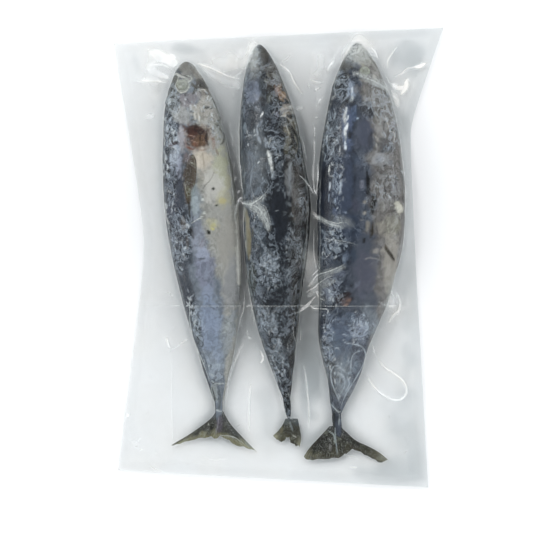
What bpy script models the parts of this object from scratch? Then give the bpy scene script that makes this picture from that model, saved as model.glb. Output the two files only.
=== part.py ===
"""A clear vacuum bag pulled tight round three whole raw fish, lying flat.

Metres, +Z up. The bag lies on z = 0 with its length along Y: the heads point
to +Y and the tails to -Y. The origin is on the ground under the bag's middle.
The bag is one closed solid out to its film, so the fish show as its relief.
"""

from dataclasses import dataclass

import bpy
import numpy as np

MM = 0.001

# Corners of the bag as it lies, and the two places where the film is drawn in
HEAD_LEFT = (-130 * MM, 168.7 * MM)
HEAD_RIGHT = (130 * MM, 181.3 * MM)
FOOT_LEFT = (-126.8 * MM, -167.9 * MM)
FOOT_RIGHT = (118.1 * MM, -181.3 * MM)
WAIST_LEFT = (-106.5 * MM, 9.9 * MM)
WAIST_RIGHT = (104.3 * MM, 96.8 * MM)
WAIST_ROUNDING = 0.14

# The welded film where no fish lies between its two sheets
WELD_THICKNESS = 1.2 * MM
EDGE_HEIGHT = 3.2 * MM
EDGE_WAVE = 0.9 * MM
EDGE_WAVE_LENGTH = 118 * MM
CROSS_WAVE = 0.54 * MM
CROSS_WAVE_LENGTH = 69 * MM
TUCK_HEIGHT = 7 * MM
FILM_BEND_RADIUS = 10 * MM

# Shares of a fish's length from its snout to the fork of its tail
FULLEST_AT = 0.41
STALK_AT = 0.9
STALK_DEPTH = 0.125
TAPER_POWER = 1.75

# How a fish rests: its soft underside is pressed flat and its ends lift
PRESSED = 2.2 * MM
SNOUT_LIFT = 9 * MM
TAIL_LIFT = 3.5 * MM
SNOUT_LIFT_SHARE = 0.3
TAIL_LIFT_SHARE = 0.36
ROUNDNESS = 2.25
TAIL_RELIEF = 1.8 * MM
SPINE_ROUNDING = 26 * MM

# The lattice on which heights are worked out, and the mesh drawn from it
CELL = 1.25 * MM
REACH_X = 140 * MM
REACH_Y = 192 * MM
COLUMNS = 130
ROWS = 178
KEPT_SHARE = 0.124
SETTLING_ROUNDS = 1400
SMOOTHING_ROUNDS = 3


@dataclass(frozen=True)
class Fish:
    """One fish seen from above. Points are (x, y) in millimetres, snout first."""

    spine: tuple
    half_depth: float
    half_height: float
    snout_power: float
    back_rise: float
    tail: tuple


LEFT_FISH = Fish(
    spine=((-72.7, 154.4), (-66.1, 92.8), (-56.3, -2), (-49.9, -65.2),
           (-46.6, -120.5), (-48.6, -144.2)),
    half_depth=29.5 * MM,
    half_height=21 * MM,
    snout_power=0.55,
    back_rise=0.1,
    tail=((-51.2, -122), (-58.1, -130), (-69.9, -139.4), (-85.2, -149.6),
          (-58.1, -145), (-49, -142.6), (-34.4, -144), (-26.5, -148.1),
          (-16.7, -153.3), (-26.5, -143.6), (-36.7, -132.3), (-43.1, -122)),
)
MIDDLE_FISH = Fish(
    spine=((-15.4, 167.9), (-8.3, 108.6), (-1.3, 45.4), (-2.4, -33.6), (0, -65.2),
           (6.5, -112.6), (9.9, -141.8)),
    half_depth=27 * MM,
    half_height=23.5 * MM,
    snout_power=0.58,
    back_rise=0,
    tail=((5, -127), (0, -131), (-5, -141.8), (4, -143.4), (9.5, -145.5),
          (13, -150.2), (18.4, -145), (15.5, -130)),
)
RIGHT_FISH = Fish(
    spine=((62, 169.5), (64.9, 108.6), (64.4, 13.8), (59.2, -33.6), (51.7, -65.2),
           (50.9, -96.8), (45, -124.4), (50.2, -156)),
    half_depth=35 * MM,
    half_height=24 * MM,
    snout_power=0.64,
    back_rise=0.12,
    tail=((40, -134), (31.5, -143), (22, -152.5), (19.6, -158), (23.3, -160.6),
          (33, -159), (43.4, -158.2), (51, -156.8), (59.6, -152.1), (69.1, -157.4),
          (81.8, -162.2), (87.5, -160.8), (73.3, -150.5), (60.4, -142.6),
          (49, -134)),
)
SHOAL = (LEFT_FISH, MIDDLE_FISH, RIGHT_FISH)


def clear_scene():
    for old in list(bpy.data.objects):
        bpy.data.objects.remove(old, do_unlink=True)


def lattice():
    """X and Y of every lattice point, rows along Y and columns along X."""
    xs = np.arange(-REACH_X, REACH_X + CELL / 2, CELL)
    ys = np.arange(-REACH_Y, REACH_Y + CELL / 2, CELL)
    return np.meshgrid(xs, ys)


def eased(share):
    """0 to 1 with a level start, like film that leaves a rounded pinch."""
    soft = np.sqrt(share**2 + WAIST_ROUNDING**2) - WAIST_ROUNDING
    return soft / (np.sqrt(1 + WAIST_ROUNDING**2) - WAIST_ROUNDING)


def side_x(y, head, waist, foot):
    """X of one side of the bag at each y, drawn in at its waist."""
    up = eased(np.clip((y - waist[1]) / (head[1] - waist[1]), 0, None))
    down = eased(np.clip((waist[1] - y) / (waist[1] - foot[1]), 0, None))
    return waist[0] + (head[0] - waist[0]) * up + (foot[0] - waist[0]) * down


def bag_point(across, along):
    """(x, y) on the bag for shares of its width, from the left, and of its length."""
    foot_y = FOOT_LEFT[1] + (FOOT_RIGHT[1] - FOOT_LEFT[1]) * across
    head_y = HEAD_LEFT[1] + (HEAD_RIGHT[1] - HEAD_LEFT[1]) * across
    y = foot_y + (head_y - foot_y) * along
    left = side_x(y, HEAD_LEFT, WAIST_LEFT, FOOT_LEFT)
    right = side_x(y, HEAD_RIGHT, WAIST_RIGHT, FOOT_RIGHT)
    return left + (right - left) * across, y


def inside_bag(x, y):
    left = side_x(y, HEAD_LEFT, WAIST_LEFT, FOOT_LEFT)
    right = side_x(y, HEAD_RIGHT, WAIST_RIGHT, FOOT_RIGHT)
    across = (x - left) / (right - left)
    foot_y = FOOT_LEFT[1] + (FOOT_RIGHT[1] - FOOT_LEFT[1]) * across
    head_y = HEAD_LEFT[1] + (HEAD_RIGHT[1] - HEAD_LEFT[1]) * across
    return (across > 0) & (across < 1) & (y > foot_y) & (y < head_y)


def inside_outline(x, y, outline):
    """Even-odd test of every lattice point against a closed outline."""
    inside = np.zeros(x.shape, bool)
    for (ax, ay), (bx, by) in zip(outline, outline[1:] + outline[:1]):
        if ay == by:
            continue
        crosses = (ay > y) != (by > y)
        at = ax + (y - ay) * (bx - ax) / (by - ay)
        inside ^= crosses & (x < at)
    return inside


def body_depth(share, snout_power):
    """Half depth of a fish along its length, as a share of the largest."""
    front = np.clip(share / FULLEST_AT, 0, 1)
    back = np.clip((share - FULLEST_AT) / (STALK_AT - FULLEST_AT), 0, 1)
    swell = (1 - (1 - front) ** 2) ** snout_power
    taper = 1 - (1 - STALK_DEPTH) * back**TAPER_POWER
    return np.where((share > 0) & (share < 1), swell * taper, 0)


def ground_gap(share):
    """Height of a fish's underside over the ground, below zero where it is pressed."""
    head = np.clip(1 - share / SNOUT_LIFT_SHARE, 0, 1) ** 2
    tail = np.clip((share - 1 + TAIL_LIFT_SHARE) / TAIL_LIFT_SHARE, 0, 1) ** 2
    return (SNOUT_LIFT + PRESSED) * head + (TAIL_LIFT + PRESSED) * tail - PRESSED


def spine_x(fish, y):
    """X of a fish's middle line at each lattice row, its corners rounded off."""
    points = np.array(fish.spine[::-1]) * MM
    rows = y[:, 0]
    reach = max(1, round(SPINE_ROUNDING / CELL / 2))
    padded = np.concatenate([
        rows[0] - CELL * np.arange(reach, 0, -1), rows,
        rows[-1] + CELL * np.arange(1, reach + 1),
    ])
    line = np.interp(padded, points[:, 1], points[:, 0])
    weights = np.hanning(2 * reach + 3)[1:-1]
    return np.convolve(line, weights / weights.sum(), "valid")[:, None]


def fish_heights(fish, x, y):
    """Top, underside, axis height and footprint of one fish on the lattice."""
    snout_y, fork_y = fish.spine[0][1] * MM, fish.spine[-1][1] * MM
    share = (snout_y - y) / (snout_y - fork_y)
    depth = body_depth(share, fish.snout_power)
    offset = (x - spine_x(fish, y)) / np.maximum(fish.half_depth * depth, 1e-6)
    footprint = (np.abs(offset) < 1) & (depth > 0)
    inner = np.clip(1 - np.abs(offset) ** ROUNDNESS, 0, 1)
    bulge = inner ** (1 / ROUNDNESS) * fish.half_height * depth
    axis = fish.half_height * depth + ground_gap(np.clip(share, 0, 1))
    top = axis + bulge * (1 - fish.back_rise * offset)
    return top, axis - bulge, axis, footprint


def tail_mask(fish, x, y):
    outline = [(px * MM, py * MM) for px, py in fish.tail]
    return inside_outline(x, y, outline)


def edge_height(x, y):
    """The bag's edge lies in slow waves just over the ground."""
    along = EDGE_WAVE * np.sin(2 * np.pi * y / EDGE_WAVE_LENGTH)
    across = CROSS_WAVE * np.cos(2 * np.pi * x / CROSS_WAVE_LENGTH)
    return EDGE_HEIGHT + along + across


def neighbours_mean(grid):
    around = np.pad(grid, 1, mode="edge")
    sides = around[:-2, 1:-1] + around[2:, 1:-1] + around[1:-1, :-2] + around[1:-1, 2:]
    return sides / 4


def smoothed(grid):
    for _ in range(SMOOTHING_ROUNDS):
        grid = (grid + neighbours_mean(grid)) / 2
    return grid


def weld_heights(x, y, pinned, pinned_heights):
    """The middle of the welded film, stretched like a skin from fish to edge."""
    outside = ~inside_bag(x, y)
    fixed = pinned | outside
    held = np.where(pinned, pinned_heights, edge_height(x, y))
    heights = held.copy()
    for _ in range(SETTLING_ROUNDS):
        heights = np.where(fixed, held, neighbours_mean(heights))
    return heights


def ball_offsets(radius):
    """Lattice steps under a ball, with how far the ball's skin drops at each."""
    reach = int(radius / CELL)
    for row in range(-reach, reach + 1):
        for column in range(-reach, reach + 1):
            away = (row * row + column * column) * CELL * CELL
            if away <= radius * radius:
                yield row, column, radius - np.sqrt(radius * radius - away)


def rolled(heights, radius):
    """Heights raised to where a ball rolled under them would lift them."""
    reach = int(radius / CELL)
    around = np.pad(heights, reach, mode="edge")
    tall, wide = heights.shape
    raised = np.full(heights.shape, -np.inf)
    for row, column, drop in ball_offsets(radius):
        part = around[reach + row:reach + row + tall, reach + column:reach + column + wide]
        raised = np.maximum(raised, part - drop)
    return raised


def bridged(heights, radius):
    """Film over heights: it can't bend into a hollow tighter than the radius."""
    return -rolled(-rolled(heights, radius), radius)


def film_heights(x, y):
    """Height of the upper and the lower film at every lattice point."""
    tops, undersides = [], []
    pinned = np.zeros(x.shape, bool)
    pinned_heights = np.zeros(x.shape)
    tails = np.zeros(x.shape, bool)
    for fish in SHOAL:
        top, underside, axis, footprint = fish_heights(fish, x, y)
        tail = tail_mask(fish, x, y) & ~footprint
        tops.append(np.where(footprint, top, 0))
        undersides.append(np.where(footprint, underside, 1))
        held = footprint | tail
        low = np.minimum(np.where(footprint, axis, TUCK_HEIGHT), TUCK_HEIGHT)
        pinned_heights = np.where(held, low, pinned_heights)
        pinned |= held
        tails |= tail
    weld = weld_heights(x, y, pinned, pinned_heights)
    upper = np.maximum(weld + WELD_THICKNESS / 2, np.max(tops, axis=0))
    lower = np.minimum(weld - WELD_THICKNESS / 2, np.min(undersides, axis=0))
    upper = smoothed(bridged(upper, FILM_BEND_RADIUS))
    lower = smoothed(-bridged(-lower, FILM_BEND_RADIUS))
    fins = smoothed(np.where(tails, TAIL_RELIEF, 0))
    return upper + fins, np.maximum(lower - fins, 0)


def sampled(heights, x, y):
    """Heights read between lattice points."""
    column = np.clip((x + REACH_X) / CELL, 0, heights.shape[1] - 1.001)
    row = np.clip((y + REACH_Y) / CELL, 0, heights.shape[0] - 1.001)
    c, r = column.astype(int), row.astype(int)
    fc, fr = column - c, row - r
    near = heights[r, c] * (1 - fc) + heights[r, c + 1] * fc
    far = heights[r + 1, c] * (1 - fc) + heights[r + 1, c + 1] * fc
    return near * (1 - fr) + far * fr


def sheet_faces(first, flip):
    """Quads of one sheet whose points start at number first."""
    faces = []
    for row in range(ROWS):
        for column in range(COLUMNS):
            a = first + row * (COLUMNS + 1) + column
            quad = (a, a + 1, a + COLUMNS + 2, a + COLUMNS + 1)
            faces.append(quad[::-1] if flip else quad)
    return faces


def rim_faces(second):
    """Quads that join the two sheets round the bag's edge, seen anticlockwise."""
    wide = COLUMNS + 1
    foot = list(range(COLUMNS))
    right = [row * wide + COLUMNS for row in range(ROWS)]
    head = [ROWS * wide + column for column in range(COLUMNS, 0, -1)]
    left = [row * wide for row in range(ROWS, 0, -1)]
    ring = foot + right + head + left
    return [
        (second + a, second + b, b, a) for a, b in zip(ring, ring[1:] + ring[:1])
    ]


def bag_mesh():
    across, along = np.meshgrid(np.linspace(0, 1, COLUMNS + 1), np.linspace(0, 1, ROWS + 1))
    x, y = bag_point(across, along)
    upper, lower = film_heights(*lattice())
    top = np.stack([x, y, sampled(upper, x, y)], axis=-1).reshape(-1, 3)
    bottom = np.stack([x, y, sampled(lower, x, y)], axis=-1).reshape(-1, 3)
    faces = sheet_faces(0, False) + sheet_faces(len(top), True) + rim_faces(len(top))
    mesh = bpy.data.meshes.new("vacuum_bag")
    mesh.from_pydata(np.concatenate([top, bottom]).tolist(), [], faces)
    return mesh


def film_over_fish():
    material = bpy.data.materials.new("film_over_fish")
    material.use_nodes = True
    shader = material.node_tree.nodes["Principled BSDF"]
    shader.inputs["Base Color"].default_value = (0.42, 0.46, 0.5, 1)
    shader.inputs["Roughness"].default_value = 0.22
    shader.inputs["Metallic"].default_value = 0
    return material


def build():
    clear_scene()
    mesh = bag_mesh()
    bag = bpy.data.objects.new("vacuum_bag", mesh)
    bpy.context.scene.collection.objects.link(bag)
    mesh.materials.append(film_over_fish())
    mesh.shade_smooth()
    thin = bag.modifiers.new("Fewer faces where the film is flat", "DECIMATE")
    thin.ratio = KEPT_SHARE


build()
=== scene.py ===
"""The looks of a clear vacuum pack of three whole raw fish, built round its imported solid.

Metres, +Z up. The pack lies on z = 0 with the heads towards +Y and the tails
towards -Y. Points written as (x, y) pairs are in millimetres.
The fish are modelled first, and the film is then drawn tight round them.
"""

import math
from dataclasses import dataclass

import bpy
import numpy as np
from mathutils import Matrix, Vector
from mathutils.bvhtree import BVHTree


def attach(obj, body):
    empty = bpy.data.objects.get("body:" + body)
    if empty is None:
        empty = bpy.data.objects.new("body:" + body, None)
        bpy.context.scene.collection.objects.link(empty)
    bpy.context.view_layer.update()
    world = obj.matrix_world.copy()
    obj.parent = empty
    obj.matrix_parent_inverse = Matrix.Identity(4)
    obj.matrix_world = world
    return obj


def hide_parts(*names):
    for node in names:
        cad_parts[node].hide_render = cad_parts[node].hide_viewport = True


MM = 0.001

# The camera looks straight down, and its frame is this wide on the ground
FRAME_WIDTH = 421 * MM
FRAME_CENTRE = (-9.5 * MM, -7.1 * MM)
LENS = 240
SENSOR = 36

# Corners of the bag as it lies, and the two places where the film is drawn in
HEAD_LEFT = (-130 * MM, 168.7 * MM)
HEAD_RIGHT = (130 * MM, 181.3 * MM)
FOOT_LEFT = (-126.8 * MM, -167.9 * MM)
FOOT_RIGHT = (118.1 * MM, -181.3 * MM)
WAIST_LEFT = (-106.5 * MM, 9.9 * MM)
WAIST_RIGHT = (104.3 * MM, 96.8 * MM)
WAIST_ROUNDING = 0.14

# Shares of a fish's length from its snout to the fork of its tail
FULLEST_AT = 0.41
STALK_AT = 0.9
STALK_DEPTH = 0.125
TAPER_POWER = 1.75
BLUNT_END_FROM = 0.905
BLUNT_END_AT = 0.955

# How a fish rests: its soft underside is pressed flat and its ends lift
PRESSED = 2.2 * MM
SNOUT_LIFT = 9 * MM
TAIL_LIFT = 3.5 * MM
SNOUT_LIFT_SHARE = 0.3
TAIL_LIFT_SHARE = 0.36
ROUNDNESS = 2.55
SPINE_ROUNDING = 26 * MM
SKIN_INSET = 0.5 * MM
REST_HEIGHT = 0.9 * MM

# The meshes of the fish, and where along them the relief begins and ends
RINGS = 430
AROUND = 184
SNOUT_CROWDING = 1.3
FIRST_RING_AT = 0.0008
RINGS_SHORT_BY = 0.0012
RELIEF_START = (0, 0.02)
RELIEF_END = (0.88, 0.94)
TAIL_ACROSS = 96
TAIL_ALONG = 30

# The head, in shares of the fish's length, the depth of what is drawn on it, and the eyes
GILL_EDGE_AT = 0.185
GILL_EDGE_BOW = 0.05
GILL_STEP = 0.9 * MM
CHEEK_AT = 0.115
CHEEK_BOW = 0.03
CHEEK_GROOVE = 0.45 * MM
MOUTH_CLEFT = 0.8 * MM
EYE_DOME = 1.1 * MM
EYE_SINK = 1.2 * MM
EYE_LIFT = 0.1 * MM
EYE_STEP = 1 * MM
EYE_RINGS = 16
EYE_AROUND = 40

# Each eye's middle and its radius
LEFT_EYE = ((-75.6, 135.2), 5)
RIGHT_EYE = ((67.8, 145.8), 4.6)

# The tails: their rays, thickness, fraying and droop
TAIL_RAYS = 22
TAIL_ROOT = 1.5 * MM
TAIL_THINNING = 1.05 * MM
TAIL_FRAY = 1.1 * MM
TAIL_REST_HEIGHT = 4 * MM
TAIL_DROOP = 0.25
TAIL_RAY_HEIGHT = 0.16 * MM
TAIL_FRAY_SIZE = 0.035
TAIL_FRAY_SEED = 41

# Colours of the three tails, each at its root, in its middle, at its edge and at its tips
TAIL_COLOURS = (
    ("565a5e", "40413c", "7c7a60", "a3a389"),
    ("474d50", "3a392f", "4c4a38", "8b8a74"),
    ("343535", "2c2b27", "413f34", "716f5d"),
)

# The left fish's chest fin: its root, its tip and its width
CHEST_FIN = ((-67, 80), (-70.5, 42), 8.5)
CHEST_FIN_LIFT = 0.35 * MM
CHEST_FIN_THICKNESS = 0.5 * MM
CHEST_FIN_COLOUR = "4d4339"

# Noises that are added up, each given as (amount, size in mm, seed)
NOISE_CELLS = 32
SKIN_LUMPS = ((0.55 * MM, 19, 3), (0.22 * MM, 6, 4))
BAND_WANDER = ((0.13, 11, 21), (0.09, 4, 22))
PATCH_EDGES = ((0.3, 5, 23), (0.22, 2.2, 24), (0.1, 1.1, 25))
FROST_EDGES = ((0.35, 6, 26),)
STROKE_EDGES = ((0.22, 3.4, 31), (0.16, 1.6, 32))
TAIL_LIFTS = ((0.7 * MM, 14, 42),)
TAIL_BLOTS = ((0.5, 5, 43),)
FILM_SLACK = ((0.35, 17, 51), (0.12, 6, 52))
FILM_CLING = ((0.08, 3.4, 53), (0.08, 7, 54))
HAZE_EDGES = ((0.3, 9, 55),)

# Where a spot and a stroke begin to fade and where they end, in shares of their size
SPOT_CORE = 0.62
HAZE_CORE = 0.1
SPOT_FADE = 1.74
STROKE_FADE = (0.45, 1.25)

# How far from its line a stroke is drawn, in half widths, and how much its ends narrow
STROKE_REACH = 2.2
STROKE_POINTING = 0.5

# The film, its lattice of heights and its mesh
CELL = 1 * MM
REACH_X = 140 * MM
REACH_Y = 192 * MM
LOWER_STEP = 4
UPPER_SHEET = (248, 348)
LOWER_SHEET = tuple(count // LOWER_STEP for count in UPPER_SHEET)
FILM_CLEARANCE = 0.35 * MM
LEAST_CLEARANCE = 0.15 * MM
FLOOR_CLEARANCE = 0.15 * MM
WELD_THICKNESS = 0.5 * MM
EDGE_HEIGHT = 3.2 * MM
EDGE_WAVE = 0.9 * MM
EDGE_WAVE_LENGTH = 118 * MM
CROSS_WAVE = 0.54 * MM
CROSS_WAVE_LENGTH = 69 * MM
TUCK_HEIGHT = 7 * MM
FILM_BEND_RADIUS = 10 * MM
STEEP_FILM = (0.25, 0.65)
SETTLING_ROUNDS = 1600
SMOOTHING_ROUNDS = 2
SEAL_WIDTH = 7.5 * MM
SEAL_SOFTNESS = 0.8 * MM

# How the film lies: pressed on the fish, slack beside them, flat where it is welded
CLING_LIFT = 0.12 * MM
SLACK_LIFT = 0.4 * MM
WELD_FLATTENING = 0.8
MOST_GAP = 6
FARTHEST_LINE = 9

# Flecks of ice and bare skin
FLECK_SEED = 5
FLECK_COLOURS = ("c3cbcf", "1f2429", "98a4ad")
FLECK_TURN = 0.7
FLECK_BEND = 0.5
FLECK_HALF_LENGTHS = (0.7, 2.3)
FLECK_HALF_WIDTHS = (0.45, 0.8)
FLECK_STRENGTHS = (0.4, 0.85)

# Wrinkles and folds of the film with their painted highlights, its milky haze, and painted shade in the
# film
WRINKLE_SEED = 11
WRINKLE_COUNT = 45
WRINKLE_ACROSS = (0.04, 0.96)
WRINKLE_ALONG = (0.03, 0.97)
WRINKLE_TURN = 0.7
WRINKLE_BEND = 0.2
WRINKLE_LENGTHS = (2.5, 8)
WRINKLE_HEIGHTS = (0.15, 0.5)
WRINKLE_HALF_WIDTHS = (0.5, 0.9)
WRINKLE_WHITES = (0.1, 0.35)
CREASE_SPACING = 4 * MM
CREASE_REACH = 1.9 * MM
SHADE_BETWEEN_FISH_REACH = 12 * MM
MOST_SHADE_BETWEEN_FISH = 0.38
LINE_SPREAD = 1.3
RIDGE_SPREAD = 1.3
RIDGE_POWER = 1.4
CREASE_FILL = 4.5
CREASE_POINTING = 0.7
MARGIN_MILK = 0.1
RIM_REACH = 20 * MM
RIM_SHADE = (0.24, 0.35)

# Sizes, stripes and colours in the materials
SKIN_CELLS = 5.8 * MM
SKIN_GRAIN = 2.3 * MM
SKIN_BLOTCHES = 13 * MM
DARKEST_SKIN = "101419"
ICE_ON_SKIN = "a9b5c0"
FIN_BLOTCHES = 4 * MM
FIN_VEINS = 4.5 * MM
FIN_STRIPES = 230.0
DARK_RAY = "1d1f1c"
PALE_WEB = "8b8f80"
ICE_ON_FIN = "b4b9b4"
PUPIL = "6a6e63"
CLOUDED_LENS = "7b7f73"
EYE_RING = "6a6a61"
EYE_MILK = "a9aea8"
FILM_MIST = 26 * MM
FILM_CREEP = 2.4 * MM
FILM_CRINKLE = 6 * MM
FILM_SEAM_RIBS = 14 * MM
CLEAR_FILM = (0.97, 0.975, 0.975, 1)
# Colour that the film lets through where shade is painted on it
FILM_IN_SHADE = (0.66, 0.69, 0.7, 1)
FILM_SHINE = (0.95, 0.96, 0.97, 1)
# White of the film's milky haze and of the glare painted on it
COOL_HAZE_AND_GLARE = "f2f4f4"
WARM_HAZE_AND_GLARE = "f1efea"
MILK_OVER_FISH = "bcc2c0"

# The floor, the room's even light and one strip light
FLOOR_HALF = 3.0
FLOOR_COLOUR = (0.86, 0.865, 0.87, 1)
ROOM_COLOUR = (0.97, 0.985, 1, 1)
ROOM_FADE = (0.7, 0.93)
ROOM_STRENGTHS = (1.75, 0.12)
STRIP_AT = (-0.4, 0.6, 1.1)
STRIP_TARGET = (0, 0.06, 0)
STRIP_SIZE = (0.06, 0.25)
STRIP_POWER = 3.2


@dataclass(frozen=True)
class Patch:
    """A soft spot of colour on a fish: its middle, half sizes, turn, colour and strength."""

    middle: tuple
    half_size: tuple
    turn: float
    colour: str
    strength: float = 1.0


@dataclass(frozen=True)
class Stroke:
    """A brush stroke of colour: its line, half width, colour and strength."""

    line: tuple
    half_width: float
    colour: str
    strength: float = 0.85


@dataclass(frozen=True)
class Sheen:
    """A painted highlight on the film, broad and soft: its line, half width and strength."""

    line: tuple
    half_width: float
    strength: float


@dataclass(frozen=True)
class Cloud:
    """Where there is more or less of something: its middle, half sizes, turn, amount."""

    middle: tuple
    half_size: tuple
    turn: float
    amount: float


@dataclass(frozen=True)
class Skin:
    """Colours of a fish from its left edge to its right, and where they change."""

    left: str
    between: str
    right: str
    under: str
    first_edge: tuple
    second_edge: tuple
    softness: float
    frost: float
    speckle: float
    dim: float
    strokes: tuple
    patches: tuple
    frosted: tuple
    speckled: tuple
    flecked: tuple


@dataclass(frozen=True)
class Fish:
    """One fish seen from above, with its spine from the snout to the fork."""

    name: str
    spine: tuple
    half_depth: float
    half_height: float
    snout_power: float
    back_rise: float
    gill_step: float
    tail_left: tuple
    tail_trailing: tuple
    tail_right: tuple
    skin: Skin


@dataclass(frozen=True)
class Crease:
    """A ridge where the film folds: its line, height, half width and whiteness, a painted highlight
    along the fold.
    """

    line: tuple
    height: float = 1.2
    half_width: float = 1.2
    white: float = 0.6


def alike(lines, *look):
    """Strokes that share their half width, their colour and, where it is given, their strength."""
    return tuple(Stroke(line, *look) for line in lines)


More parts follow.
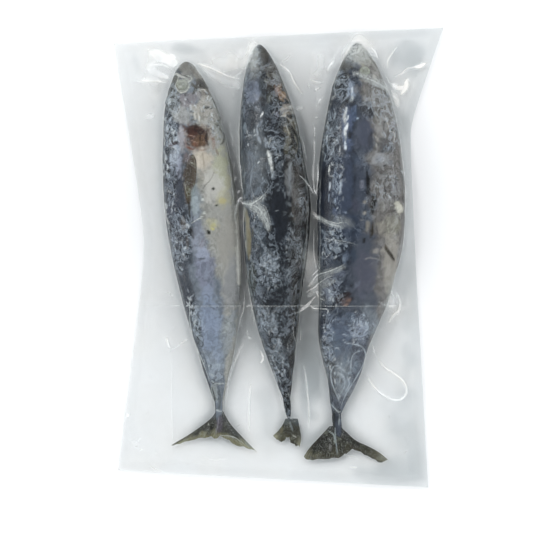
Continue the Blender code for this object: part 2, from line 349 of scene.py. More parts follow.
# The left fish: strokes, laid over flecks, which are laid over patches
LEFT_STROKES = (
    Stroke(((-72.5, 153.5), (-75.5, 147)), 2.6, "6f6e68"),
    Stroke(((-69, 149), (-64.5, 143.5), (-59, 139.5)), 2.2, "7d7a73"),
    Stroke(((-68, 135), (-63, 133.5), (-56, 133.5)), 1.6, "45433d"),
    Stroke(((-80.5, 140.5), (-83, 135), (-84, 130.5)), 1.4, "4a4b45"),
    Stroke(((-79.5, 122), (-75.5, 120)), 1.6, "5d5e5a"),
    Stroke(((-82, 115), (-80.5, 109.5), (-79.5, 106)), 2.6, "a3a8a8", 0.7),
    Stroke(((-71.5, 125.5), (-64.5, 125.5), (-63, 129)), 3.2, "827f84", 0.6),
    Stroke(((-77, 138.5), (-78.5, 135), (-76, 131.5)), 2.2, "adb3ae"),
    Stroke(((-73, 135), (-74.5, 132)), 1.6, "868a7c"),
    Stroke(((-82.5, 143), (-80, 144), (-77.5, 142), (-73.5, 141)), 1, "c3c4bc", 0.8),
    Stroke(((-78.5, 142), (-79.5, 137.5), (-80.5, 134.5), (-79.5, 131.5), (-77, 129), (-73.5, 129.5),
           (-71, 131.5), (-70, 135), (-70.5, 137.5), (-68, 139.5), (-69, 141.5),
           (-72, 143)), 0.45, "c4c6ba", 0.85),
    Stroke(((-74.5, 142.7), (-72, 141.8)), 0.6, "2f2e29", 0.95),
    Stroke(((-68, 137), (-65, 132), (-67, 128)), 1.4, "45433c", 0.8),
    Stroke(((-63, 137.5), (-58, 132.5)), 1.2, "3b3a34", 0.8),
    Stroke(((-61.5, 131.5), (-58.5, 131.5), (-56.5, 130)), 0.5, "b5b5ad", 0.8),
    Stroke(((-66, 150.5), (-63, 146), (-60, 142.5)), 0.5, "b9b9b1", 0.7),
    Stroke(((-56, 127), (-61, 120), (-65.5, 111.5)), 2.2, "a5a299", 0.7),
    *alike((
        ((-67.5, 113), (-66, 106.5)), ((-64.5, 115), (-63, 105.5)), ((-61.5, 117.5), (-60.5, 104)),
        ((-59, 115), (-58.5, 107.5)), ((-54, 113), (-55, 104)),
        ((-51, 115), (-50.5, 107.5), (-49.5, 103.5)), ((-48.5, 116.5), (-46.5, 109.5), (-46, 104)),
    ), 0.35, "6f6d66", 0.7),
    Stroke(((-66, 114), (-64.5, 107)), 0.4, "c6c3b6", 0.7),
    Stroke(((-63, 116), (-62, 106)), 0.4, "c6c3b6", 0.7),
    Stroke(((-57, 117), (-55, 117)), 0.8, "4b4a44"),
    Stroke(((-53.5, 134), (-51.5, 124.5), (-48.5, 116.5)), 0.5, "5a5953"),
    Stroke(((-69, 109.5), (-65.5, 104.5), (-60.5, 103.5)), 0.5, "5a5953", 0.7),
    Stroke(((-71.5, 100.5), (-65, 101.5), (-58, 98.5)), 2.2, "3f241a", 0.9),
    Stroke(((-75, 103), (-73, 101), (-74, 98)), 0.9, "5a3d30", 0.8),
    Stroke(((-53.5, 101), (-50.5, 98.5), (-48.5, 98)), 0.7, "4a3a30"),
    Stroke(((-57, 103.5), (-54, 102)), 0.6, "54443a", 0.8),
    Stroke(((-52, 96), (-50.5, 90), (-51, 85)), 1.8, "8c7460", 0.6),
    Stroke(((-73.5, 92), (-72, 88), (-69, 85)), 0.9, "6b4030", 0.5),
    Stroke(((-64, 85), (-60, 83.5), (-56, 84.5)), 0.9, "7d5c48", 0.45),
    Stroke(((-74, 97), (-71.5, 95.5)), 1.2, "8c8580", 0.8),
    Stroke(((-60.5, 104), (-58.5, 101.5), (-55, 101)), 0.9, "93897c", 0.8),
    # Pale belly colour along the right flank, made lighter still as painted light against the shade in
    # the crevice between the fish
    Stroke(((-32, 78), (-30.5, 45), (-30, 15), (-31, -20)), 3.2, "dcdad0", 0.9),
    Stroke(((-70, 94.5), (-64, 97)), 2.2, "4c2c1e"),
    Stroke(((-62, 92), (-59.5, 88.5)), 2.4, "70502f", 0.8),
    Stroke(((-67.5, 88.5), (-64, 87.5)), 1.8, "7a4a2e"),
    Stroke(((-56, 97), (-56.5, 92), (-55, 87.5)), 1.2, "341d13", 0.75),
    Stroke(((-71.5, 86), (-66.5, 84)), 0.9, "6a3119", 0.85),
    Stroke(((-52.5, 93.5), (-49.5, 89.5)), 1.2, "8d6b55"),
    Stroke(((-71, 95.5), (-66.5, 94.5), (-67.5, 91), (-63, 89.5)), 0.35, "b08b78", 0.7),
    Stroke(((-46, 100.5), (-42.5, 95.5), (-43.5, 90), (-46, 88)), 0.9, "55564e"),
    Stroke(((-49.5, 99), (-47, 93.5)), 1.5, "a39f90", 0.7),
    Stroke(((-86.5, 86.5), (-83, 88.5), (-79, 89.5)), 1.5, "46302e"),
    Stroke(((-84.5, 85), (-82, 86), (-80.5, 84.5), (-80.5, 81.5), (-83, 81)), 0.4, "babcb7"),
    *alike((
        ((-90, 83), (-88.5, 79.5), (-89, 75.5), (-87, 72)),
        ((-90.5, 95.5), (-89, 92), (-89.5, 87.5)), ((-84, 102.5), (-83, 99), (-78.5, 97)),
    ), 0.4, "b3b8ba"),
    Stroke(((-77, 79.5), (-78, 71), (-77.5, 62)), 2.6, "8d94a6"),
    Stroke(((-64.5, 80.5), (-56.5, 78), (-51.5, 77)), 3, "b5ab99"),
    Stroke(((-67.5, 82.5), (-64.5, 71)), 0.35, "8a8273", 0.7),
    Stroke(((-59.5, 81.5), (-57.5, 69)), 0.35, "8a8273", 0.7),
    Stroke(((-63.5, 81.5), (-61, 68)), 0.4, "cdc5b4", 0.7),
    Stroke(((-49, 85), (-47, 79.5)), 0.9, "7b6d5b"),
    Stroke(((-72, 81), (-71, 75)), 3, "66585a", 0.8),
    Stroke(((-70.5, 74), (-70, 67.5), (-70.5, 55)), 2.9, "3e352e", 0.95),
    Stroke(((-70.5, 55), (-70.5, 46.5)), 2, "484431", 0.95),
    Stroke(((-70, 44.5), (-69.5, 34)), 1, "39332b", 0.95),
    Stroke(((-70, 34), (-69, 29)), 0.8, "12110e", 0.95),
    Stroke(((-75, 63), (-72.5, 53.5), (-70.5, 46.5)), 0.35, "94958c", 0.7),
    Stroke(((-61, 62), (-63, 54)), 2.6, "88877d"),
    Stroke(((-49.5, 69), (-52.5, 61.5), (-58, 55), (-61, 49)), 0.35, "75746a"),
    Stroke(((-65, 56), (-67, 46.5), (-66, 34)), 1.9, "8b999d"),
    Stroke(((-64, 55.5), (-63.5, 55)), 0.45, "28363c"),
    Stroke(((-67, 52.5), (-66.5, 51.5)), 0.45, "28363c"),
    Stroke(((-65.5, 46), (-65, 45)), 0.5, "28363c"),
    Stroke(((-61, 49), (-58, 42), (-58, 34.5), (-61.5, 30.5), (-67.5, 27)), 0.45, "d3d8d2"),
    Stroke(((-39, 64), (-40, 53.5)), 2.4, "a5a27f", 0.6),
    Stroke(((-52.5, 22.5), (-50, 21.5)), 1.1, "b9b355"),
    Stroke(((-55.5, 21.5), (-53, 18)), 0.5, "22231a", 0.95),
    Stroke(((-50.5, 53.5), (-50.5, 52.5)), 0.45, "2f322e", 0.95),
    Stroke(((-48.5, 40.5), (-48, 40)), 0.45, "2f322e", 0.95),
    Stroke(((-83.5, 27), (-83, 20), (-82, 16.5)), 2.9, "2e323b"),
    Stroke(((-78.5, 6), (-77, 0.5)), 2.6, "3b404a"),
    Stroke(((-74.5, 31.5), (-74, 21.5)), 2.2, "5d544a"),
    Stroke(((-67.5, 23.5), (-66.5, 14.5)), 1.4, "332f2e", 0.7),
    Stroke(((-71.5, 16.5), (-71, 6)), 1.2, "6f6a68", 0.7),
    Stroke(((-58.5, 14.5), (-60.5, 7.5)), 2.6, "8b8a96", 0.6),
    Stroke(((-88.5, 56), (-85, 51.5), (-78, 55)), 2.2, "3a3f49"),
    Stroke(((-81.5, 48), (-77, 43)), 1.6, "454a55"),
    Stroke(((-75, -12.5), (-72.5, -19.5)), 1.4, "41454b"),
    Stroke(((-89, 43), (-88.5, 32.5), (-85.5, 26)), 1, "b1b3b1", 0.6),
    Stroke(((-62, -1), (-57.5, -1)), 0.9, "43474e"),
    Stroke(((-56, -6.5), (-56.5, -17)), 3.2, "7b8598", 0.7),
    Stroke(((-55, -22), (-56, -32.5)), 4.5, "7d8ba4", 0.7),
    Stroke(((-56, -31.5), (-54, -45.5), (-50, -58.5)), 4.5, "7a8ba5", 0.7),
    Stroke(((-48, -65), (-47, -81)), 4.5, "7e8fa6", 0.7),
    Stroke(((-68.5, -50), (-66, -45.5), (-62.5, -47), (-61, -51.5), (-63.5, -57.5), (-67, -54.5),
           (-68.5, -50)), 0.4, "4f5a60"),
    Stroke(((-65.5, -49.5), (-66, -53.5)), 1, "a9b1b0", 0.7),
    Stroke(((-64.5, -62.5), (-61, -61), (-59, -65), (-61, -70.5), (-64, -66),
           (-64.5, -62.5)), 0.4, "475156"),
    Stroke(((-63, -64), (-62, -66)), 0.8, "39434a"),
    Stroke(((-69.5, -31.5), (-69.5, -50.5), (-66, -67), (-60, -81), (-54.5, -96.5)), 0.4, "b9c3c3"),
    Stroke(((-61, -71), (-57.5, -81), (-54.5, -91)), 0.8, "515d68"),
    Stroke(((-57, -35.5), (-50, -40.5), (-48, -41.5)), 0.4, "4a545c", 0.7),
    Stroke(((-38.5, -50.5), (-42.5, -59)), 1.4, "a0a9a9", 0.6),
    Stroke(((-53, -97), (-50, -99), (-46, -99.5), (-43, -99)), 0.5, "bcc4c1"),
    Stroke(((-53, -98.5), (-51, -99)), 0.5, "1d2428", 0.95),
    Stroke(((-52.5, -102), (-51, -107.5), (-50, -113.5)), 0.5, "181d20", 0.95),
    Stroke(((-47, -104.5), (-46, -112.5), (-47, -119.5)), 1.2, "596265"),
    Stroke(((-48.5, -102.5), (-48.5, -114.5)), 0.5, "a2acae"),
    Stroke(((-49.5, -120.5), (-45, -121)), 0.5, "c2c9c8"),
    Stroke(((-56, -134.5), (-60, -135.5)), 2.2, "3c3c39"),
    Stroke(((-51.5, -128.5), (-53, -135.5)), 1.6, "1b1c19", 0.95),
    # Painted highlight: a small white glint on the dark spot of the tail
    Stroke(((-55.5, -131), (-55, -132)), 0.4, "d6d6cc", 0.95),
    Stroke(((-61, -142), (-66, -143), (-70, -144)), 1.6, "78755c"),
    Stroke(((-57, -142), (-52, -143)), 1, "84815f"),
    Stroke(((-70, -141), (-77, -144), (-83.5, -148)), 1.2, "4c4c40"),
    Stroke(((-46, -125.5), (-47, -137.5)), 2.8, "57525c"),
    Stroke(((-44, -124.5), (-39.5, -132.5), (-34.5, -139)), 2, "3f3f42"),
    Stroke(((-36.5, -135.5), (-31.5, -141)), 2.2, "4a4d4c"),
    Stroke(((-26.5, -145), (-20.5, -150)), 2, "8f958f"),
    Stroke(((-50, -140), (-48, -132.5), (-47, -125.5)), 0.4, "8d8a94"),
)

LEFT_PATCHES = (
    Patch((-70, 146), (9, 9), 0, "7b7a74", 0.8),
    Patch((-75.5, 112.5), (7, 9), 0, "9d9f9d", 0.85),
    Patch((-75.5, 93), (3.5, 12), 0, "9f9ea4", 0.8),
    Patch((-62, 93), (13, 12), 0, "8f7c6b", 0.6),
    Patch((-73, 149), (5.5, 6.3), 0, "74736d"),
    Patch((-82, 137), (4, 6.3), -20, "55564f"),
    Patch((-74.5, 134), (5.5, 6.3), 0, "8d9288"),
    Patch((-61, 136.5), (6.3, 5.5), 20, "4f4d49"),
    Patch((-57.5, 129), (4.7, 5.5), 0, "7d7971"),
    Patch((-70.5, 123.5), (7.9, 7.1), 0, "848186", 0.9),
    Patch((-82.5, 123), (4.7, 12.6), 0, "7f8583", 0.8),
    Patch((-59, 114), (9.5, 8.7), -10, "98958c"),
    Patch((-56, 117.3), (2.2, 1.1), 10, "45443f", 0.9),
    Patch((-48, 97.5), (4, 8.7), -10, "8b8c81", 0.8),
    Patch((-63.5, 94.5), (9.5, 8.8), 20, "432a20", 0.9),
    Patch((-61, 90.5), (7, 5), 20, "67492f", 0.8),
    Patch((-67.5, 98.5), (4.7, 4), 0, "3f211a"),
    Patch((-82.5, 88), (3.6, 3.2), 0, "45302c", 0.8),
    Patch((-81, 80), (4.7, 11.9), -4, "9aa5b3", 0.9),
    Patch((-84, 93), (3.2, 6.3), 0, "7f8587", 0.7),
    Patch((-59.5, 76), (10.3, 8.7), 0, "b9afa0"),
    Patch((-55, 63), (7.1, 9.5), -25, "a09c90"),
    Patch((-46, 67.5), (7.1, 20.5), -3, "a6a885", 0.7),
    Patch((-51.5, 55.5), (9.5, 15.8), 0, "b5b4ad", 0.9),
    Patch((-64.5, 44), (4.3, 12.6), 4, "8f9ca3"),
    Patch((-71.5, 55.5), (3.3, 20.5), 6, "53473e"),
    Patch((-81, 45.5), (7.1, 28.4), -5, "3b4250", 0.8),
    Patch((-75.5, 18), (7.9, 17.4), -8, "4d535f", 0.8),
    Patch((-63, 15.5), (6.3, 14.2), 0, "858d9c", 0.9),
    Patch((-40, 14), (10.3, 26.9), 0, "94928a", 0.8),
    Patch((-57.5, -8.5), (9.5, 17.4), 5, "777e93", 0.9),
    Patch((-59.5, 2), (5.5, 7.9), 0, "9aa5bb", 0.6),
    Patch((-36.5, -21.5), (7.1, 26.9), -5, "84878a", 0.8),
    Patch((-54, -53.5), (10.3, 26.9), 6, "7a8ba3", 0.9),
    Patch((-40.5, -61), (6.3, 23.7), -14, "828b91", 0.8),
    Patch((-64.5, -54), (3.2, 15.8), 12, "566168", 0.8),
    Patch((-50, -82.5), (7.1, 12.6), 0, "8593a1", 0.8),
    Patch((-51, -108.5), (3.2, 9.5), 0, "8d9592", 0.7),
    Patch((-43.5, 45), (7, 8.5), 0, "aaa67c", 0.45),
    Patch((-44, 44), (3.2, 3.6), 0, "b8aa52", 0.55),
    Patch((-52, 26), (6, 5.5), 15, "aeaa80", 0.5),
    Patch((-51, 25), (3, 2.6), 15, "b4ad5c", 0.5),
    Patch((-51, 53.5), (1.2, 1.2), 0, "32342f"),
    Patch((-48.5, 40.5), (1.2, 1), 0, "2f302c"),
    Patch((-54.5, 19.5), (1.6, 2.2), 35, "1c1c16"),
    Patch((-69, 21), (1.3, 5), 12, "1d2026"),
    Patch((-69, 80), (1, 12), 8, "6e655d", 0.7),
)

LEFT_FROSTED = (
    Cloud((-83, 124), (7, 14), 0, 1),
    Cloud((-84, 94), (6, 17), 0, 1),
    Cloud((-81, 77), (6, 11), -5, 0.8),
    Cloud((-48, 97), (6, 11), -10, 0.9),
    Cloud((-54, 117), (8, 9), 0, 0.35),
    Cloud((-72, 144), (6, 8), 0, 0.15),
    Cloud((-70, 124), (7, 7), 0, 0.15),
    Cloud((-85, 54), (6, 20), -3, 0.55),
    Cloud((-63, 94), (11, 11), 0, 0.3),
    Cloud((-78, 14), (11, 27), -8, 0.75),
    Cloud((-63, -53), (6, 16), 12, 0.9),
    Cloud((-49, -91), (7, 8), 0, 0.95),
    Cloud((-46, 65), (11, 30), 0, 0.05),
    Cloud((-38, 6), (9, 32), 0, 0),
    Cloud((-53, -22), (11, 21), 0, 0.15),
    Cloud((-61, 77), (9, 11), 0, 0.1),
)

LEFT_SPECKLED = (
    Cloud((-84, 120), (6, 17), 0, 1),
    Cloud((-84, 93), (6, 17), 0, 1),
    Cloud((-84, 56), (7, 24), -3, 1),
    Cloud((-63, 94), (10, 10), 0, 0.8),
    Cloud((-76, 18), (9, 27), -8, 0.8),
    Cloud((-59, 137), (7, 7), 20, 0.7),
    Cloud((-45, 65), (13, 35), 0, 0),
    Cloud((-38, 2), (11, 36), 0, 0),
    Cloud((-60, 77), (9, 12), 0, 0.1),
    Cloud((-70, 124), (7, 8), 0, 0.15),
    Cloud((-56, -14), (13, 24), 5, 0.35),
    Cloud((-52, -57), (11, 24), 0, 0.3),
    Cloud((-64, -54), (4, 19), 12, 0.9),
    Cloud((-51, -109), (6, 11), 0, 0.6),
)

LEFT_FLECKED = (
    Cloud((-85, 108), (5.5, 27), 4, 52),
    Cloud((-87.5, 72), (3.5, 16), 0, 24),
    Cloud((-84, 40), (5, 22), -6, 26),
    Cloud((-77, 10), (7, 22), -8, 34),
    Cloud((-68, -40), (4, 26), 12, 26),
    Cloud((-56, -85), (3, 18), 14, 12),
    Cloud((-57, 131), (8, 8), 0, 16),
    Cloud((-66, 120), (8, 12), 0, 26),
    Cloud((-48, 113), (7, 15), -20, 22),
)

LEFT_FISH = Fish(
    name="left_fish",
    spine=((-72.7, 154.4), (-66.1, 92.8), (-56.3, -2), (-49.9, -65.2),
           (-46.6, -120.5), (-48.6, -144.2)),
    half_depth=29.5 * MM,
    half_height=21 * MM,
    snout_power=0.55,
    back_rise=0.1,
    gill_step=1,
    tail_left=((-49, -121), (-53.3, -126.8), (-61.2, -133.1), (-71.9, -140.5),
               (-85, -149.3)),
    tail_trailing=((-85, -149.3), (-73.1, -144.8), (-59.2, -141.6), (-49.7, -142.2),
                   (-46, -141.2), (-38, -144.8), (-32.8, -148.5), (-25.4, -149.6),
                   (-17, -153.8)),
    tail_right=((-43.8, -121), (-38, -131.1), (-29.6, -140.5), (-23.3, -146.9),
                (-17, -153.8)),
    skin=Skin(
        left="363d48", between="6a7581", right="989993", under="a9acab",
        first_edge=((0, 0.2), (0.12, -0.2), (0.3, -0.35), (0.55, -0.45), (0.75, -0.75),
                    (1, -0.9)),
        second_edge=((0, 0.75), (0.15, 0.1), (0.3, -0.05), (0.45, 0.05), (0.6, 0.35),
                     (0.8, 0.6), (1, 0.9)),
        softness=0.1,
        frost=0.25,
        speckle=0.3,
        dim=0.95,
        strokes=LEFT_STROKES,
        patches=LEFT_PATCHES,
        frosted=LEFT_FROSTED,
        speckled=LEFT_SPECKLED,
        flecked=LEFT_FLECKED,
    ),
)

# The middle fish: strokes, laid over flecks, which are laid over patches
MIDDLE_STROKES = (
    Stroke(((-23, 164), (-24.5, 154.5)), 1.4, "b0b2ad"),
    Stroke(((-13.5, 165), (-11, 158.5), (-9.5, 155)), 1.8, "3b382f"),
    Stroke(((-12.5, 151), (-9, 146.5), (-3, 145.5)), 2.4, "4a443a"),
    Stroke(((0, 151), (3.5, 143.5), (6, 136.5)), 1.3, "3d3a31"),
    Stroke(((-17, 160.5), (-17.5, 150), (-15.5, 146.5)), 0.7, "8f9598"),
    Stroke(((-10.5, 139.5), (-9, 137)), 1.8, "8b8e88"),
    Stroke(((-3.5, 143.5), (-1, 139.5)), 1.6, "7d7f73"),
    Stroke(((-13, 143), (-13, 136.5), (-11, 131.5)), 0.9, "2b3033"),
    Stroke(((-14, 124.5), (-12, 119), (-11.5, 128)), 1.6, "1e252d"),
    Stroke(((-17.5, 136.5), (-17, 128), (-17.5, 122.5)), 2.4, "7c8ba3"),
    Stroke(((-24.5, 134), (-23.5, 129.5)), 0.8, "39444f"),
    Stroke(((-7, 128), (-8, 121)), 2.2, "66685c", 0.7),
    Stroke(((-3, 135), (-1.5, 126)), 1.1, "7c5433"),
    Stroke(((4.5, 136.5), (7, 129.5), (8, 124.5)), 1.3, "5c432f"),
    Stroke(((-1.5, 133), (0, 129), (1, 125.5)), 1.1, "b07a45"),
    # Painted highlight: a white glint on the orange spot
    Stroke(((-0.5, 134), (1, 133)), 0.6, "e8d9c4", 0.95),
    Stroke(((2.5, 128), (5, 125.5), (8, 122.5)), 0.5, "c9b49c"),
    Stroke(((0.5, 124.5), (4.5, 122)), 0.9, "b99a78"),
    Stroke(((3.5, 119), (9.5, 118.5), (13, 117.5)), 1.4, "b5aa9b"),
    Stroke(((0.5, 112), (6, 115), (13, 115.5)), 0.6, "6b5f52"),
    Stroke(((2.5, 115.5), (8, 117.5), (15, 117)), 0.6, "cbbfae"),
    Stroke(((1.5, 110), (5, 110.5), (8.5, 107.5)), 0.9, "d0c7b6"),
    Stroke(((7, 113.5), (11, 111.5)), 0.7, "3a342b"),
    Stroke(((12.5, 108.5), (13, 106)), 0.6, "2a2720"),
    Stroke(((10.5, 101.5), (12, 93), (15, 84)), 2.4, "23221a", 0.95),
    Stroke(((15, 84), (18.5, 79.5)), 1.4, "171812", 0.95),
    Stroke(((6, 102.5), (8, 96.5), (9.5, 91)), 0.45, "b9b49d"),
    Stroke(((13, 99), (16.5, 94.5), (19, 86.5)), 0.45, "b9b49d"),
    Stroke(((15, 87.5), (13.5, 81.5)), 0.4, "a39e86"),
    Stroke(((-8, 110.5), (-3.5, 103.5), (-6.5, 100)), 3, "222a38"),
    Stroke(((-21, 115.5), (-19.5, 108.5), (-21, 100)), 3.2, "242c3a"),
    Stroke(((-23, 93), (-19.5, 87.5)), 2, "303c4c"),
    Stroke(((-23, 82.5), (-18.5, 77), (-17, 72)), 2.4, "5f7082"),
    Stroke(((-2, 114), (-1, 108.5)), 1.6, "6f6b78"),
    Stroke(((-26.5, 105), (-26, 97)), 1.4, "81939f"),
    Stroke(((4.5, 79.5), (8, 75.5)), 1.8, "4d4b4c"),
    Stroke(((-26.5, 119), (-24.5, 110.5)), 2, "505a68", 0.7),
    # Painted highlight: the pale blue-white strokes in the next lines are the film's broken glint down
    # this fish's back
    Stroke(((-12, 114), (-14, 109.5)), 0.9, "d6e0ea", 0.95),
    Stroke(((-15.5, 105), (-17, 100), (-16, 95.5)), 0.8, "aebccb"),
    Stroke(((-12.5, 107), (-15.5, 101.5)), 1.2, "8fa0b3", 0.7),
    Stroke(((-17, 95.5), (-14, 88.5)), 1.2, "a5b3c2"),
    Stroke(((-10.5, 93), (-10, 86)), 1.4, "a9b7c6"),
    Stroke(((-9, 83), (-7, 78), (-6.5, 72.5)), 1.1, "d9e4ec", 0.95),
    Stroke(((-5.5, 75.5), (-5, 66.5)), 0.9, "eef3f6", 0.95),
    Stroke(((-6.5, 93), (-3.5, 90), (-4.5, 86.5), (-2, 84)), 0.4, "b5c3cf"),
    Stroke(((-8, 97), (-6.5, 99), (0.5, 96.5)), 0.4, "b5c3cf"),
    Stroke(((-16.5, 73.5), (-15, 75)), 0.4, "c3ced8"),
    Stroke(((-26, 80.5), (-25.5, 77.5)), 0.6, "20262c"),
    Stroke(((-5.5, 69), (-5, 62)), 0.6, "c4d2dc"),
    Stroke(((-16.5, 73), (-15, 74.5)), 0.5, "e6edf2", 0.95),
    Stroke(((-18.5, 72), (-19.5, 61)), 2.6, "5d6f82"),
    Stroke(((-11, 70), (-13.5, 63)), 1, "2c3542"),
    Stroke(((-21, 68), (-22, 57.5), (-20.5, 50.5), (-19, 47)), 0.45, "93a3b1"),
    Stroke(((-10.5, 59.5), (-17, 50.5), (-20.5, 48)), 2.2, "6b7c8d"),
    Stroke(((-14, 65.5), (-11.5, 59.5), (-8, 57)), 0.4, "8fa0ae"),
    Stroke(((-1, 72), (-2, 61), (-3.5, 54)), 2.2, "1a222e", 0.95),
    Stroke(((-1, 50.5), (0.5, 33), (2.5, 24.5)), 3.4, "1d2632", 0.95),
    Stroke(((3.5, 21), (4.5, 10.5)), 3.2, "1f2835", 0.95),
    Stroke(((-1, 68.5), (3.5, 65.5), (2.5, 63), (-2, 64)), 0.45, "8e9ba6"),
    Stroke(((-1, 57.5), (0.5, 54), (-1, 50.5)), 0.6, "8b98a3"),
    Stroke(((3.5, 52.5), (5, 48), (4.5, 45.5)), 0.6, "9aa7b1"),
    Stroke(((-3, 36.5), (-1, 36)), 0.5, "b5bfc6"),
    Stroke(((3.5, 32.5), (6, 34)), 0.5, "9fabb4"),
    Stroke(((10, 73.5), (8.5, 68), (8.5, 50.5)), 1, "9aa5ab"),
    Stroke(((6, 43.5), (9.5, 40)), 1.2, "7f8a90", 0.7),
    Stroke(((14, 64), (15, 54), (14, 48)), 1.6, "55544f"),
    Stroke(((13, 40), (15, 28)), 2.4, "3d3a38"),
    Stroke(((19, 49), (22, 40), (21, 28)), 0.7, "85807b"),
    Stroke(((17.5, 28), (18.5, 22.5), (20, 8.5)), 1.2, "141618"),
    Stroke(((9.5, 22.5), (12, 15.5), (16.5, 15.5)), 1.2, "8d959b"),
    Stroke(((13, 10.5), (16.5, 7)), 1.5, "3a3f45"),
    Stroke(((13, -2), (16.5, -4.5)), 1.2, "7f8184"),
    Stroke(((17.5, -9), (15, -12.5)), 1.2, "262523"),
    Stroke(((18.5, -2), (22, -11)), 1.4, "4a4640"),
    Stroke(((-26, 38.5), (-24.5, 28), (-24, 15.5)), 1.6, "a39d82", 0.95),
    Stroke(((-23, 21), (-22.5, 8.5), (-23, -2)), 1.3, "8e8562"),
    Stroke(((-27, 39.5), (-27, 28)), 0.9, "b5b19b"),
    Stroke(((-20, 24.5), (-20.5, 15.5)), 0.8, "5c5a4a"),
    Stroke(((-20.5, -3.5), (-21, -14.5)), 1.8, "4a4f44"),
    Stroke(((-25.5, -5.5), (-24.5, -18), (-23, -25)), 0.5, "a5aba6"),
    Stroke(((-17, 28), (-15, 17.5)), 1.6, "3e4a52"),
    Stroke(((-17.5, 21), (-13.5, 12), (-6.5, 3.5), (-1, -2)), 0.5, "9aa7ae"),
    Stroke(((-18.5, 11), (-17, 7.5), (-18.5, 5)), 0.5, "93a0a8"),
    Stroke(((-11.5, 7), (-8, 2.5)), 0.5, "93a0a8"),
    Stroke(((-14, 3.5), (-13.5, -2)), 0.8, "84929a"),
    Stroke(((-4.5, 15.5), (-4.5, 5)), 1.6, "26313d"),
    Stroke(((-7, -6.5), (-2, -8), (-1, -14.5), (-5.5, -13.5), (-7, -9)), 0.9, "8d9aa3"),
    Stroke(((5, -9), (8.5, -11), (6, -16)), 0.8, "8d9aa3"),
    Stroke(((-4.5, 0.5), (0.5, -7)), 0.8, "7f8d97"),
    Stroke(((-10, -7), (-9, -16)), 0.7, "8d9aa3"),
    Stroke(((-6.5, -18), (-3, -22)), 0.7, "7f8d97"),
    Stroke(((0.5, -18), (3.5, -22)), 0.7, "7f8d97"),
    Stroke(((-8.5, -27.5), (-1, -23.5)), 1.6, "36404a"),
    Stroke(((7, -29.5), (6, -41.5)), 2, "48545f"),
    Stroke(((-2, -31.5), (0, -36.5), (-1, -42.5)), 0.7, "1d252c"),
    Stroke(((-12.5, -38.5), (-10.5, -45.5), (-12.5, -50.5), (-7.5, -56.5)), 0.6, "9aa7b1"),
    Stroke(((-4.5, -41.5), (-4, -49.5), (-1, -57.5)), 0.6, "9aa7b1"),
    Stroke(((-6.5, -54.5), (-3, -52.5)), 1.2, "93a1ac"),
    Stroke(((-3, -63), (-4.5, -69)), 2.4, "54616c"),
    Stroke(((6, -61), (7, -67), (5, -75)), 1.6, "1b222a", 0.95),
    Stroke(((9, -63), (7, -71)), 0.9, "232b33"),
    Stroke(((-5.5, -73), (-1, -74), (3, -79)), 0.5, "a9b4bb"),
    Stroke(((-5.5, -74), (-4, -81), (-1, -87)), 0.5, "a9b4bb"),
    Stroke(((-1, -80), (0, -84)), 1.4, "3f4c57"),
    Stroke(((4, -79), (3, -86)), 1, "a2adb4"),
    Stroke(((7, -82), (8, -87)), 1.4, "5f6d76"),
    Stroke(((-2, -93), (1, -97), (2, -100.5)), 0.5, "98a4aa"),
    Stroke(((3, -93), (7, -97)), 0.6, "39444c"),
    Stroke(((6, -104.5), (3.5, -110.5), (8, -116.5)), 1.1, "121614", 0.95),
    Stroke(((8, -115.5), (7, -122.5)), 1.4, "12150f", 0.95),
    Stroke(((7.5, -106.5), (8.5, -110.5)), 0.7, "97a09f"),
    Stroke(((6, -125), (11, -127.5)), 0.5, "c3cac9"),
    Stroke(((9, -129.5), (11, -136.5)), 1, "7c858a"),
    Stroke(((3, -133.5), (2, -138)), 1.6, "6f6b52"),
    Stroke(((-1, -141), (-4, -142)), 1.2, "a3a08a"),
    Stroke(((12, -134.5), (15, -138)), 0.9, "24231c", 0.95),
    Stroke(((10, -145), (15, -148)), 0.8, "2c2b22", 0.95),
    Stroke(((11, -140), (14, -142)), 0.6, "b9bab0"),
    Stroke(((8, 68), (8.8, 57), (8, 45)), 1.4, "7f868c", 0.6),
    Stroke(((2, 51), (4, 30), (1, 8)), 4.5, "202935", 0.6),
    Stroke(((6, 108), (12, 99), (17, 84)), 2.6, "2d2b20", 0.7),
    Stroke(((9, 107), (13, 99)), 0.8, "8a846c", 0.7),
    Stroke(((12, 96), (15, 88)), 0.7, "8a846c", 0.6),
    Stroke(((1, 115), (6, 117.8), (12, 117.5), (17, 116)), 1.1, "b5ab99", 0.85),
    Stroke(((3, 112), (8, 113), (14, 112.5)), 1.2, "a79d88", 0.7),
    Stroke(((6, 109.8), (10, 110)), 0.8, "24221c", 0.8),
    Stroke(((8, -141), (9, -146)), 0.8, "555343"),
)

